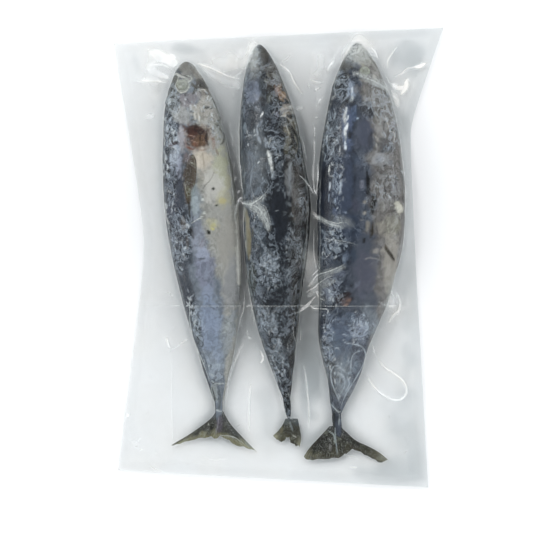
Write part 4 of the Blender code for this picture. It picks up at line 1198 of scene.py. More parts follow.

# Folds of the film, each a ridge with a painted highlight along it
CREASES = (
    Crease(((-110, -38), (0, -38), (112, -38)), 0.1, 0.5, 0.4),
    Crease(((-33.5, 32.5), (-32.5, 40), (-30.5, 45.5), (-27, 47)), 1.2, 0.9, 0.6),
    Crease(((-31, 46), (-28, 42.5), (-22, 41.5), (-17, 44), (-12.5, 47.5), (-7, 54)), 0.5, 0.5, 0.62),
    Crease(((-28, 42.5), (-24.5, 41), (-18.5, 40), (-14, 36), (-10.5, 27), (-7, 17)), 0.4, 0.45, 0.5),
    Crease(((-22, 41.5), (-12.5, 41), (-9, 36.5), (-6.5, 28), (-5.5, 21)), 0.3, 0.4, 0.45),
    Crease(((-17.5, 39.5), (-12, 34), (-8, 27), (-6.5, 19.5)), 0.5, 0.45, 0.4),
    Crease(((-21, 51.5), (-18.5, 46.5), (-14.5, 46)), 0.3, 0.35, 0.55),
    Crease(((-19.5, 35), (-18.5, 31.5), (-19, 26.5)), 0.3, 0.45, 0.5),
    Crease(((-16.5, 34), (-15, 28.5)), 0.2, 0.35, 0.45),
    Crease(((-30.5, 77), (-29.5, 64), (-28.5, 54), (-27, 48)), 0.4, 0.5, 0.5),
    Crease(((-28, 74.5), (-26.5, 66.5), (-26.5, 55)), 0.2, 0.4, 0.4),
    Crease(((-27, 39.5), (-27.5, 24.5), (-26, 10.5), (-24.5, 0)), 0.3, 0.4, 0.4),
    Crease(((15, 64.5), (18.5, 62), (22.5, 57.5), (27.5, 49.5)), 0.8, 0.6, 0.75),
    Crease(((27, 77), (27.5, 64), (27, 50.5)), 0.3, 0.4, 0.45),
    Crease(((30, 74.5), (31, 63), (30, 56)), 0.3, 0.4, 0.5),
    Crease(((25.5, 36.5), (29, 32), (33, 29.5)), 0.4, 0.4, 0.45),
    Crease(((27, 33.5), (32, 32), (40.5, 26.5), (46, 24.5), (50.5, 21.5)), 0.4, 0.45, 0.5),
    Crease(((26, 37), (33, 30), (42, 25), (49.5, 24.5)), 0.3, 0.4, 0.55),
    Crease(((38, 28.5), (45, 26.5), (50, 27.5)), 0.4, 0.4, 0.8),
    Crease(((33.5, 15), (42.5, 13.5), (50.5, 12.5), (62.5, 9.5)), 0.4, 0.5, 0.45),
    Crease(((25, -21), (30, -14), (39, -11), (47, -7.5), (52.5, -4.5)), 0.4, 0.5, 0.65),
    Crease(((25, -26), (30, -21.5), (36.5, -16.5), (43.5, -14)), 0.4, 0.4, 0.8),
    Crease(((26, -14.5), (30, -10.5), (33.5, -6)), 0.3, 0.45, 0.6),
    Crease(((30, -26), (34, -30)), 0.3, 0.4, 0.7),
    Crease(((26.5, 73), (27.5, 55.5), (30, 47.5)), 0.3, 0.5, 0.45),
    Crease(((30.5, 73), (30, 57.5), (29, 48.5)), 0.3, 0.4, 0.45),
    Crease(((27.5, 24), (27.5, 3), (30, -9.5)), 0.3, 0.4, 0.4),
    Crease(((98.5, 20.5), (99.5, 11.5), (98.5, 3.5)), 0.2, 0.4, 0.4),
    Crease(((17, -40.5), (21.5, -37.5), (29.5, -30)), 0.7, 0.6, 0.7),
    Crease(((21.5, -28), (25, -25), (30.5, -22.5)), 0.4, 0.4, 0.6),
    Crease(((29, -26), (32, -31.5), (36, -33.5)), 0.5, 0.6, 0.8),
    Crease(((24.5, -38), (28.5, -40), (37.5, -40.5), (38.5, -43.5)), 0.4, 0.5, 0.85),
    Crease(((31.5, -42), (30.5, -51), (32, -67), (34.5, -85), (37.5, -94)), 0.2, 0.35, 0.6),
    Crease(((92.5, -27.5), (95.5, -34), (94.5, -41.5), (90, -46), (86.5, -52)), 0.9, 1, 0.8),
    Crease(((78, -34), (83.5, -37.5), (91, -38.5)), 0.5, 0.8, 0.5),
    Crease(((77, -78), (83.5, -86.5), (93.5, -93), (100, -100.5), (100.5, -107.5), (96, -112),
           (89, -111.5), (80, -106.5), (73.5, -99.5), (68.5, -91)), 1.2, 0.7, 1),
    Crease(((70, -65), (74.5, -70.5), (75.5, -77)), 0.3, 0.4, 0.45),
    Crease(((19, -84), (21.5, -95), (24, -117.5), (23.5, -135.5)), 0.6, 0.5, 0.5),
    Crease(((53, -156.5), (61.5, -157.5)), 0.2, 0.45, 0.5),
    Crease(((56.5, -165), (62, -166)), 0.2, 0.5, 0.8),
    Crease(((68.5, -75), (65.5, -89.5), (58.5, -103), (51, -117.5)), 0.3, 0.45, 0.35),
    Crease(((-88.5, -62.5), (-87, -68), (-85.5, -71.5)), 0.8, 0.8, 0.9),
    Crease(((-79, -69), (-75, -66.5), (-71.5, -64)), 0.4, 0.45, 0.5),
    Crease(((-83.5, -76), (-84.5, -112), (-83, -158)), 0.15, 0.5, 0.22),
    Crease(((-119, -142), (-112, -146), (-108, -141)), 0.4, 0.6, 0.3),
    Crease(((-60, -156), (-52, -160), (-41, -158)), 0.3, 0.6, 0.25),
    Crease(((-85.5, -75), (-83.5, -72), (-79, -69.5)), 0.4, 0.4, 0.45),
    Crease(((-21.5, -97), (-23, -109.5), (-23.5, -124.5), (-23, -139)), 0.6, 0.5, 0.6),
    Crease(((-14.5, -73), (-12, -79), (-14, -83)), 0.7, 0.8, 0.9),
    Crease(((-25, -62), (-21.5, -64)), 0.5, 0.6, 0.8),
    Crease(((-26.5, -25.5), (-27.5, -40.5), (-30, -48.5), (-33, -67)), 0.2, 0.4, 0.4),
    Crease(((-26.5, -65), (-32.5, -77), (-37.5, -90), (-40.5, -104.5), (-41.5, -119.5)), 0.8, 1.2, 0.35),
    Crease(((-47, -140.5), (-40.5, -140.5), (-34.5, -142), (-26.5, -147.5)), 0.3, 0.5, 0.9),
    Crease(((12, -43.5), (16, -42.5), (22, -38.5), (29, -30.5)), 0.7, 0.6, 0.85),
    Crease(((23.5, -36.5), (29, -40.5)), 0.4, 0.4, 0.6),
    Crease(((13, -44.5), (11.5, -57.5), (13.5, -66), (17, -65), (17.5, -55.5)), 0.3, 0.4, 0.5),
    Crease(((20, -83), (22, -97), (23.5, -116.5), (24, -136.5)), 0.5, 0.5, 0.5),
    Crease(((-24.5, -18), (-21.5, -35.5), (-18, -55.5), (-15.5, -61)), 0.3, 0.45, 0.5),
    Crease(((-9, -73), (-4.5, -87), (1, -106.5), (6, -124.5)), 0.3, 0.4, 0.45),
    Crease(((-69.5, 154.5), (-54, 149.5), (-41, 143.5), (-28.5, 140)), 0.8, 0.7, 0.7),
    Crease(((-36.5, 141), (-28.5, 146.5)), 0.4, 0.4, 0.5),
    Crease(((-70.5, 153.5), (-64.5, 146.5), (-58.5, 140), (-54, 134)), 0.2, 0.4, 0.4),
    Crease(((-53, 133), (-48, 122.5), (-44.5, 111.5), (-42.5, 104)), 0.2, 0.4, 0.4),
    Crease(((-116, 139.5), (-100, 139), (-86, 138)), 0.4, 0.6, 0.5),
    Crease(((-103, 150), (-92, 152), (-82, 146)), 0.5, 0.8, 0.35),
    Crease(((-101.5, -164), (-97, -167), (-92, -169.5)), 0.3, 0.6, 0.4),
    Crease(((-32, 109.5), (-31, 89.5), (-31, 67.5)), 0.2, 0.4, 0.4),
    Crease(((3, 154.5), (6, 156), (10, 160.5)), 0.5, 0.6, 0.5),
    Crease(((-0.5, 153), (8, 146.5), (13, 136.5), (20, 127)), 1, 0.75, 0.8),
    Crease(((24.5, 140), (29, 138.5), (33, 138)), 0.6, 0.5, 0.8),
    Crease(((22.5, 138), (25.5, 133)), 0.4, 0.5, 0.6),
    Crease(((30.5, 121), (33, 125)), 0.4, 0.6, 0.7),
    Crease(((28.5, 130.5), (33, 134.5)), 0.3, 0.5, 0.6),
    Crease(((13.5, 114), (16, 107), (15, 101.5), (18.5, 93), (20, 86), (22, 75.5)), 0.3, 0.4, 0.5),
    Crease(((27, 98), (28, 84), (27.5, 70)), 0.4, 0.45, 0.4),
    Crease(((-28, 141), (-30, 115.5), (-30.5, 93)), 0.2, 0.4, 0.35),
    Crease(((93.5, 167), (90, 161.5), (86.5, 156.5), (85.5, 148.5)), 0.8, 0.5, 0.9),
    Crease(((73, 165.5), (76.5, 161), (78.5, 154.5)), 0.6, 0.6, 0.6),
    Crease(((89.5, 141.5), (96.5, 144.5), (101.5, 149), (110, 150.5), (117, 153.5)), 0.7, 0.5, 0.9),
    Crease(((74, 162.5), (81, 148.5), (86.5, 139), (93.5, 130)), 0.2, 0.4, 0.35),
    Crease(((60.5, 144.5), (64.5, 141.5), (74, 138), (82, 133.5), (90, 127.5), (95, 122)), 1, 0.6, 0.42),
    Crease(((77.5, 129.5), (84.5, 125), (90, 118), (94, 108), (97, 102.5)), 0.4, 0.6, 0.5),
    Crease(((38, 146.5), (40.5, 151), (44, 157.5)), 0.5, 0.9, 0.6),
    Crease(((41, 123), (45, 128)), 0.5, 0.9, 0.55),
    Crease(((25, 140), (30, 138), (34.5, 138)), 0.5, 0.6, 0.75),
    Crease(((29, 131.5), (33, 134.5)), 0.4, 0.6, 0.7),
    Crease(((30.5, 120), (33, 125)), 0.4, 0.6, 0.7),
    Crease(((28.5, 110.5), (31, 110.5)), 0.3, 0.5, 0.7),
    Crease(((26.5, 108), (28.5, 97.5), (27.5, 80)), 0.4, 0.4, 0.4),
)


def colour_of(code):
    """Linear red, green and blue of a hexadecimal sRGB colour."""
    screen = np.array([int(code[i:i + 2], 16) for i in (0, 2, 4)]) / 255
    return np.where(screen <= 0.04045, screen / 12.92, ((screen + 0.055) / 1.055) ** 2.4)


def rgba(code):
    return (*colour_of(code), 1)


def blended(tint, over, amount):
    """A colour or an array of them, with another laid over it by an amount at each point."""
    return tint * (1 - amount) + over * amount


def risen(value, low, high):
    """0 below low, 1 above high, and a smooth rise between."""
    share = np.clip((value - low) / (high - low), 0, 1)
    return share * share * (3 - 2 * share)


def noise_at(points, size, seed):
    """Smooth noise from -1 to 1 with bumps of about this size, at an (n, 3) array."""
    values = np.random.default_rng(seed).uniform(-1, 1, 3 * (NOISE_CELLS,))
    scaled = np.asarray(points) / size
    low = np.floor(scaled).astype(int)
    part = scaled - low
    part = part * part * (3 - 2 * part)
    total = np.zeros(len(scaled))
    for corner in np.ndindex(2, 2, 2):
        a, b, c = ((low + corner) % NOISE_CELLS).T
        weight = np.prod(np.where(corner, part, 1 - part), axis=1)
        total += weight * values[a, b, c]
    return total


def noises_at(points, layers):
    """The sum of several noises."""
    return sum(amount * noise_at(points, size * MM, seed) for amount, size, seed in layers)


def heading(angle):
    """The direction at this angle from +X, as (x, y)."""
    return np.array([math.cos(angle), math.sin(angle)])


def beside(direction):
    """The direction a quarter turn to the left of this one."""
    return np.array([-direction[1], direction[0]])


def nearness(points, spot, ragged, core=SPOT_CORE):
    """How much a soft-edged spot covers each point, from 1 in its core to 0 outside."""
    away = points[:, :2] / MM - spot.middle
    side = heading(math.radians(spot.turn))
    distance = np.hypot(away @ side / spot.half_size[0], away @ beside(side) / spot.half_size[1])
    return 1 - risen(distance + ragged, core, SPOT_FADE - core)


def nearest_on(line, points):
    """Each point's distance from a line, the same signed by its side, and its share along."""
    nearest, signed, place = np.full((3, len(points)), np.inf)
    for step, (a, b) in enumerate(zip(line, line[1:])):
        run = b - a
        away = points - a
        share = np.clip((away @ run) / max(run @ run, 1e-12), 0, 1)
        distance = np.linalg.norm(away - share[:, None] * run, axis=1)
        closer = distance < nearest
        sign = np.sign(run[0] * away[:, 1] - run[1] * away[:, 0])
        nearest = np.where(closer, distance, nearest)
        signed = np.where(closer, distance * sign, signed)
        place = np.where(closer, (step + share) / (len(line) - 1), place)
    return nearest, signed, place


def covered_by(points, stroke, ragged):
    """How much a soft-edged stroke covers each point."""
    line = smooth_line(stroke.line, 5)
    reach = STROKE_REACH * stroke.half_width * MM
    low, high = line.min(0) - reach, line.max(0) + reach
    near = np.flatnonzero(np.all((points[:, :2] > low) & (points[:, :2] < high), axis=1))
    distance, _, place = nearest_on(line, points[near, :2])
    narrowed = distance / (stroke.half_width * MM) + STROKE_POINTING * np.abs(2 * place - 1) ** 3
    amount = np.zeros(len(points))
    amount[near] = 1 - risen(narrowed + ragged[near], *STROKE_FADE)
    return amount


def amount_at(points, start, clouds, ragged, core=SPOT_CORE):
    """An amount that starts out even and is changed by each cloud in turn."""
    amount = np.full(len(points), float(start))
    for cloud in clouds:
        near = nearness(points, cloud, ragged, core)
        amount += (cloud.amount - amount) * near
    return amount


def smooth_line(points, pieces=8):
    """A smooth curve through the points, as an (n, 2) array in metres."""
    knots = np.array(points, float) * MM
    padded = np.concatenate([2 * knots[:1] - knots[1:2], knots, 2 * knots[-1:] - knots[-2:-1]])
    curve = []
    for a, b, c, d in zip(padded, padded[1:], padded[2:], padded[3:]):
        for t in np.arange(pieces) / pieces:
            curve.append(0.5 * (2 * b + (c - a) * t + (2 * a - 5 * b + 4 * c - d) * t**2
                                + (3 * b - a - 3 * c + d) * t**3))
    curve.append(knots[-1])
    return np.array(curve)


def along_line(line, shares):
    """Points at shares of a line's own length."""
    steps = np.linalg.norm(np.diff(line, axis=0), axis=1)
    reached = np.concatenate([[0], np.cumsum(steps)]) / steps.sum()
    return np.stack([np.interp(shares, reached, line[:, 0]),
                     np.interp(shares, reached, line[:, 1])], axis=-1)


def new_piece(name, points, faces, material):
    """A smooth mesh object that rides with the pack."""
    mesh = bpy.data.meshes.new(name)
    mesh.from_pydata(np.asarray(points).tolist(), [], faces)
    mesh.materials.append(material)
    mesh.shade_smooth()
    piece = bpy.data.objects.new(name, mesh)
    bpy.context.scene.collection.objects.link(piece)
    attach(piece, "root")
    return piece


def set_numbers(piece, name, values):
    """Stores one number at each point of a piece, for its material to read."""
    layer = piece.data.attributes.new(name, "FLOAT", "POINT")
    layer.data.foreach_set("value", np.ascontiguousarray(values, np.float32).ravel())


def set_colours(piece, name, colours):
    layer = piece.data.attributes.new(name, "FLOAT_COLOR", "POINT")
    full = np.concatenate([colours, np.ones((len(colours), 1))], axis=1)
    layer.data.foreach_set("color", full.astype(np.float32).ravel())


def body_depth(share, snout_power):
    """Half depth of a fish along its length, as a share of the largest."""
    front = np.clip(share / FULLEST_AT, 0, 1)
    back = np.clip((share - FULLEST_AT) / (STALK_AT - FULLEST_AT), 0, 1)
    swell = (1 - (1 - front) ** 2) ** snout_power
    return swell * (1 - (1 - STALK_DEPTH) * back**TAPER_POWER)


def ground_gap(share):
    """Height of a fish's underside over the ground, below zero where it is pressed."""
    head = np.clip(1 - share / SNOUT_LIFT_SHARE, 0, 1) ** 2
    tail = np.clip((share - 1 + TAIL_LIFT_SHARE) / TAIL_LIFT_SHARE, 0, 1) ** 2
    return (SNOUT_LIFT + PRESSED) * head + (TAIL_LIFT + PRESSED) * tail - PRESSED


def spine_x(fish, y):
    """X of a fish's middle line at each y, its corners rounded off."""
    points = np.array(fish.spine[::-1]) * MM
    offsets = np.linspace(-SPINE_ROUNDING / 2, SPINE_ROUNDING / 2, 27)
    weights = np.hanning(len(offsets) + 2)[1:-1]
    lines = np.interp(np.asarray(y)[..., None] + offsets, points[:, 1], points[:, 0])
    return lines @ (weights / weights.sum())


def sections(fish, share):
    """Middle x, y, height, half width and half height of a fish at shares of its length."""
    snout_y, fork_y = fish.spine[0][1] * MM, fish.spine[-1][1] * MM
    y = snout_y + (fork_y - snout_y) * share
    depth = body_depth(share, fish.snout_power)
    blunt = np.clip((share - BLUNT_END_FROM) / (BLUNT_END_AT - BLUNT_END_FROM), 0, 1)
    narrow = np.sqrt(np.clip(1 - blunt**2, 0, 1))
    wide = np.clip(fish.half_depth * depth - SKIN_INSET, 0, None) * narrow
    tall = np.clip(fish.half_height * depth - SKIN_INSET, 0, None) * narrow
    height = fish.half_height * depth + ground_gap(share)
    return spine_x(fish, y), y, height, wide, tall


def top_at(fish, x, y):
    """Height of a fish's top surface over points of the ground under it."""
    snout_y, fork_y = fish.spine[0][1] * MM, fish.spine[-1][1] * MM
    share = np.clip((snout_y - y) / (snout_y - fork_y), 0.002, 0.998)
    middle, _, height, wide, tall = sections(fish, share)
    across = np.clip((x - middle) / np.maximum(wide, 1e-5), -0.98, 0.98)
    bulge = (1 - np.abs(across) ** ROUNDNESS) ** (1 / ROUNDNESS) * tall
    return height + bulge * (1 - fish.back_rise * across)


def gill_relief(share, across):
    """The gill cover: a thin plate that ends in a curved step behind the head."""
    edge = GILL_EDGE_AT - GILL_EDGE_BOW * (across - 0.2) ** 2
    cover = risen(share, edge - 0.06, edge - 0.004) * (1 - risen(share, edge - 0.002, edge + 0.004))
    cheek = CHEEK_AT - CHEEK_BOW * (across + 0.1) ** 2
    groove = np.exp(-(((share - cheek) / 0.006) ** 2))
    return GILL_STEP * cover - CHEEK_GROOVE * groove


def mouth_relief(share, across):
    """The cleft of the mouth, which runs back from the snout below the eye."""
    line = 0.35 + 1.6 * share
    cleft = np.exp(-(((across - line) / 0.07) ** 2)) * (1 - risen(share, 0.06, 0.085))
    return -MOUTH_CLEFT * cleft * risen(share, 0.002, 0.02)


def body_mesh(fish):
    """Points and faces of a fish's body, with each point's place along and round it."""
    share = FIRST_RING_AT + (BLUNT_END_AT - RINGS_SHORT_BY) * np.linspace(0, 1, RINGS) ** SNOUT_CROWDING
    middle, y, height, wide, tall = (part[:, None] for part in sections(fish, share))
    angle = np.linspace(0, 2 * np.pi, AROUND, endpoint=False)[None, :]
    cosine, sine = np.cos(angle), np.sin(angle)
    across = np.sign(cosine) * np.abs(cosine) ** (2 / ROUNDNESS)
    up = np.sign(sine) * np.abs(sine) ** (2 / ROUNDNESS)
    shares = np.broadcast_to(share[:, None], (RINGS, AROUND))
    acrosses = np.broadcast_to(across, shares.shape)
    x = middle + wide * across
    z = height + tall * up * (1 - fish.back_rise * np.where(up > 0, across, 0))
    flat = np.stack([x, np.broadcast_to(y, x.shape), z], axis=-1).reshape(-1, 3)
    lumps = noises_at(flat, SKIN_LUMPS).reshape(x.shape)
    relief = lumps + fish.gill_step * gill_relief(shares, acrosses)
    if fish is not MIDDLE_FISH:
        relief = relief + mouth_relief(shares, acrosses) * (up > 0)
    fade = risen(shares, *RELIEF_START) * (1 - risen(shares, *RELIEF_END))
    x = x + relief * fade * cosine
    z = np.maximum(z + relief * fade * sine, REST_HEIGHT)
    points = np.stack([x, np.broadcast_to(y, x.shape), z], axis=-1).reshape(-1, 3)
    snout = points[:AROUND].mean(0)
    fork = points[-AROUND:].mean(0)
    points = np.concatenate([points, [snout, fork]])
    faces = []
    for ring in range(RINGS - 1):
        for step in range(AROUND):
            a = ring * AROUND + step
            b = ring * AROUND + (step + 1) % AROUND
            faces.append((a, b, b + AROUND, a + AROUND))
    last = (RINGS - 1) * AROUND
    for step in range(AROUND):
        after = (step + 1) % AROUND
        faces.append((after, step, len(points) - 2))
        faces.append((last + step, last + after, len(points) - 1))
    ends = (np.array([0.0, 1.0]), np.array([0.0, 0.0]), np.array([1.0, 1.0]))
    places = [np.concatenate([part.ravel(), end]) for part, end in
              zip((shares, acrosses, np.broadcast_to(up, shares.shape)), ends)]
    return points, faces, places


def brushed(tint, points, strokes, cover=1.0):
    """Colours with ragged strokes laid over them, in turn."""
    ragged = noises_at(points, STROKE_EDGES)
    for stroke in strokes:
        amount = (stroke.strength * covered_by(points, stroke, ragged) * cover)[:, None]
        tint = blended(tint, colour_of(stroke.colour), amount)
    return tint


def flecks(clouds):
    """Short curls of ice and bare skin in each cloud, scattered but the same each run."""
    draw = np.random.default_rng(FLECK_SEED)
    strokes = []
    for cloud in clouds:
        side = heading(math.radians(cloud.turn)) * cloud.half_size[0]
        length = beside(heading(math.radians(cloud.turn))) * cloud.half_size[1]
        for number in range(cloud.amount):
            angle, out = draw.uniform(0, 2 * math.pi), math.sqrt(draw.uniform(0, 1))
            middle = cloud.middle + (side * math.cos(angle) + length * math.sin(angle)) * out
            course = draw.normal(math.pi / 2, FLECK_TURN)
            run = heading(course) * draw.uniform(*FLECK_HALF_LENGTHS)
            bend = beside(run) * draw.normal(0, FLECK_BEND)
            line = (middle - run, middle + bend, middle + run)
            strokes.append(Stroke(line, draw.uniform(*FLECK_HALF_WIDTHS),
                                  FLECK_COLOURS[number % len(FLECK_COLOURS)],
                                  draw.uniform(*FLECK_STRENGTHS)))
    return strokes


def painted(fish, points, share, across, up):
    """Skin colour at each point of a body: three bands with patches over them; some strokes laid on top
    are painted highlights and painted light.
    """
    skin = fish.skin
    place = across + noises_at(points, BAND_WANDER)
    first = np.interp(share, *zip(*skin.first_edge))
    second = np.interp(share, *zip(*skin.second_edge))
    to_between = risen(place, first - skin.softness, first + skin.softness)[:, None]
    to_right = risen(place, second - skin.softness, second + skin.softness)[:, None]
    tint = blended(colour_of(skin.left), colour_of(skin.between), to_between)
    tint = blended(tint, colour_of(skin.right), to_right)
    ragged = noises_at(points, PATCH_EDGES)
    for patch in skin.patches:
        amount = patch.strength * nearness(points, patch, ragged) * risen(up, 0, 0.2)
        tint = blended(tint, colour_of(patch.colour), amount[:, None])
    strokes = (*flecks(skin.flecked), *skin.strokes)
    tint = brushed(tint, points, strokes, risen(up, 0, 0.2)) * skin.dim
    return blended(tint, colour_of(skin.under), risen(-up, 0.1, 0.7)[:, None])


def make_body(fish, material):
    points, faces, (share, across, up) = body_mesh(fish)
    piece = new_piece(fish.name + "_body", points, faces, material)
    set_colours(piece, "tint", painted(fish, points, share, across, up))
    ragged = noises_at(points, FROST_EDGES)
    above = 0.3 + 0.7 * risen(up, -0.5, 0)
    frost = amount_at(points, fish.skin.frost, fish.skin.frosted, ragged)
    speckle = amount_at(points, fish.skin.speckle, fish.skin.speckled, ragged)
    set_numbers(piece, "frost", frost * above)
    set_numbers(piece, "speckle", speckle * above)
    return piece


def spread(left, trailing, right, columns, rows):
    """Grid of (x, y) between a fin's two edges and its trailing edge, from its root."""
    u = np.linspace(0, 1, columns)[None, :, None]
    v = np.linspace(0, 1, rows)[:, None, None]
    left_line = along_line(smooth_line(left), v[:, 0, 0])[:, None, :]
    right_line = along_line(smooth_line(right), v[:, 0, 0])[:, None, :]
    end_line = along_line(smooth_line(trailing), u[0, :, 0])[None, :, :]
    root_left, root_right = left_line[:1], right_line[:1]
    root_line = root_left * (1 - u) + root_right * u
    tip_left, tip_right = left_line[-1:], right_line[-1:]
    sides = (1 - u) * left_line + u * right_line
    ends = (1 - v) * root_line + v * end_line
    corners = (1 - v) * root_line + v * ((1 - u) * tip_left + u * tip_right)
    return sides + ends - corners, u[0, :, 0], v[:, 0, 0]


def plate(grid, height, half_thickness):
    """Points and faces of a thin closed plate over a grid of (x, y)."""
    rows, columns = height.shape
    top = np.concatenate([grid, (height + half_thickness)[..., None]], axis=-1)
    bottom = np.concatenate([grid, (height - half_thickness)[..., None]], axis=-1)
    points = np.concatenate([top.reshape(-1, 3), bottom.reshape(-1, 3)])
    count = rows * columns
    faces = []
    for row in range(rows - 1):
        for column in range(columns - 1):
            a = row * columns + column
            quad = (a, a + columns, a + columns + 1, a + 1)
            faces.append(quad)
            faces.append(tuple(count + corner for corner in quad[::-1]))
    ring = rim(columns - 1, rows - 1)
    for a, b in zip(ring, ring[1:] + ring[:1]):
        faces.append((a, b, count + b, count + a))
    return points, faces


def make_tail(fish, material, root, middle, edge, tip):
    """The forked tail: rays spread from the stalk and fray a little at their ends."""
    grid, u, v = spread(fish.tail_left, fish.tail_trailing, fish.tail_right,
                        TAIL_ACROSS, TAIL_ALONG)
    u, v = np.meshgrid(u, v)
    fray = TAIL_FRAY * noise_at(np.stack([u, 0 * u, 0 * u], -1).reshape(-1, 3),
                                TAIL_FRAY_SIZE, TAIL_FRAY_SEED)
    away = np.stack([0 * u, fray.reshape(u.shape) * risen(v, 0.6, 1)], axis=-1)
    grid = grid + away
    snout_y, fork_y = fish.spine[0][1] * MM, fish.spine[-1][1] * MM
    share = np.clip((snout_y - grid[..., 1]) / (snout_y - fork_y), 0, 0.97)
    height = np.maximum(sections(fish, share)[2] * (1 - TAIL_DROOP * v), TAIL_REST_HEIGHT)
    flat = np.concatenate([grid, 0 * grid[..., :1]], -1).reshape(-1, 3)
    lift = noises_at(flat, TAIL_LIFTS).reshape(u.shape)
    rays = TAIL_RAY_HEIGHT * np.cos(2 * np.pi * TAIL_RAYS * u) * risen(v, 0.08, 0.4)
    thickness = TAIL_ROOT - TAIL_THINNING * v + rays
    points, faces = plate(grid, height + lift * v, thickness / 2)
    piece = new_piece(fish.name + "_tail", points, faces, material)
    blot = np.tile(noises_at(flat, TAIL_BLOTS), 2)
    v2, u2 = np.tile(v.ravel(), 2), np.tile(u.ravel(), 2)
    outer = np.abs(2 * u2 - 1)
    to_middle = risen(v2 + 0.3 * blot, 0.1, 0.35)[:, None]
    to_edge = risen(v2 + 0.35 * blot, 0.62, 0.95)[:, None]
    to_tip = (risen(v2, 0.55, 1) * risen(outer + 0.2 * blot, 0.55, 0.95))[:, None]
    tint = blended(colour_of(root), colour_of(middle), to_middle)
    tint = blended(tint, colour_of(edge), to_edge)
    tint = blended(tint, colour_of(tip), to_tip)
    set_colours(piece, "tint", brushed(tint, points, fish.skin.strokes))
    set_numbers(piece, "ray", u2)
    return piece


def leaf_points(start, end, width, columns=14, rows=18):
    """Grid of (x, y) over a narrow leaf from start to end."""
    start, end = np.array(start) * MM, np.array(end) * MM
    run = end - start
    side = beside(run) / np.linalg.norm(run)
    u = np.linspace(-1, 1, columns)[None, :, None]
    v = np.linspace(0, 1, rows)[:, None, None]
    half = width * MM / 2 * (0.45 + 0.55 * np.sin(np.pi * np.clip(v * 0.85 + 0.1, 0, 1)))
    half = half * np.sqrt(np.clip(1 - np.clip((v - 0.75) / 0.25, 0, 1) ** 2, 0.02, 1))
    half = half * np.sqrt(np.clip(1 - np.clip(1 - v / 0.16, 0, 1) ** 2, 0.04, 1))
    return start + run * v + side * half * u


def make_chest_fin(material):
    """The left fish's chest fin: one narrow ribbed leaf that lies back along its flank."""
    grid = leaf_points(*CHEST_FIN)
    height = top_at(LEFT_FISH, grid[..., 0], grid[..., 1]) + CHEST_FIN_LIFT
    u = np.broadcast_to(np.linspace(0, 1, grid.shape[1]), height.shape)
    half = np.full(height.shape, CHEST_FIN_THICKNESS / 2) * (1 - 0.6 * np.abs(2 * u - 1) ** 3)
    half = half + 0.06 * MM * np.cos(2 * np.pi * 5 * u)
    points, faces = plate(grid, height, half)
    piece = new_piece("left_fish_chest_fin", points, faces, material)
    tint = np.tile(colour_of(CHEST_FIN_COLOUR), (len(points), 1))
    set_colours(piece, "tint", brushed(tint, points, LEFT_STROKES))
    set_numbers(piece, "ray", np.tile(u.ravel(), 2) * 0.16)
    return piece


def make_eye(fish, place, radius, material):
    """A clouded eye: a low dome in a ring of skin, at (x, y) on the head."""
    x0, y0 = place[0] * MM, place[1] * MM
    z0 = float(top_at(fish, np.array([x0]), np.array([y0]))[0])
    sides = top_at(fish, np.array([x0 - EYE_STEP, x0 + EYE_STEP]), np.array([y0, y0]))
    ends = top_at(fish, np.array([x0, x0]), np.array([y0 - EYE_STEP, y0 + EYE_STEP]))
    normal = Vector((-(sides[1] - sides[0]) / (2 * EYE_STEP),
                     -(ends[1] - ends[0]) / (2 * EYE_STEP), 1))
    turn = Vector((0, 0, 1)).rotation_difference(normal.normalized())
    points = [Vector((0, 0, EYE_DOME))]
    reach = [0.0]
    for ring in range(1, EYE_RINGS + 1):
        share = ring / EYE_RINGS
        dome = EYE_DOME * (1 - share**2) - EYE_SINK * risen(share, 0.82, 1)
        for step in range(EYE_AROUND):
            x, y = heading(2 * math.pi * step / EYE_AROUND) * (radius * MM * share)
            points.append(Vector((x, y, dome)))
            reach.append(share)
    points = [turn @ point + Vector((x0, y0, z0 + EYE_LIFT)) for point in points]
    faces = [(0, 1 + step, 1 + (step + 1) % EYE_AROUND) for step in range(EYE_AROUND)]
    for ring in range(EYE_RINGS - 1):
        for step in range(EYE_AROUND):
            a = 1 + ring * EYE_AROUND + step
            b = 1 + ring * EYE_AROUND + (step + 1) % EYE_AROUND
            faces.append((a, a + EYE_AROUND, b + EYE_AROUND, b))
    last = 1 + (EYE_RINGS - 1) * EYE_AROUND
    faces.append(tuple(range(last, last + EYE_AROUND))[::-1])
    piece = new_piece(fish.name + "_eye", [tuple(point) for point in points], faces, material)
    set_numbers(piece, "reach", reach)
    return piece


def eased(share):
    """0 to 1 with a level start, like film that leaves a rounded pinch."""
    soft = np.sqrt(share**2 + WAIST_ROUNDING**2) - WAIST_ROUNDING
    return soft / (np.sqrt(1 + WAIST_ROUNDING**2) - WAIST_ROUNDING)


def side_x(y, head, waist, foot):
    """X of one side of the bag at each y, drawn in at its waist."""
    up = eased(np.clip((y - waist[1]) / (head[1] - waist[1]), 0, None))
    down = eased(np.clip((waist[1] - y) / (waist[1] - foot[1]), 0, None))
    return waist[0] + (head[0] - waist[0]) * up + (foot[0] - waist[0]) * down


def both_sides(y):
    """X of the bag's left and right sides at each y."""
    return (side_x(y, HEAD_LEFT, WAIST_LEFT, FOOT_LEFT),
            side_x(y, HEAD_RIGHT, WAIST_RIGHT, FOOT_RIGHT))


def both_ends(across):
    """Y of the bag's foot and head at shares of its width, from the left."""
    return (FOOT_LEFT[1] + (FOOT_RIGHT[1] - FOOT_LEFT[1]) * across,
            HEAD_LEFT[1] + (HEAD_RIGHT[1] - HEAD_LEFT[1]) * across)


def bag_point(across, along):
    """(x, y) on the bag for shares of its width, from the left, and of its length."""
    foot_y, head_y = both_ends(across)
    y = foot_y + (head_y - foot_y) * along
    left, right = both_sides(y)
    return left + (right - left) * across, y


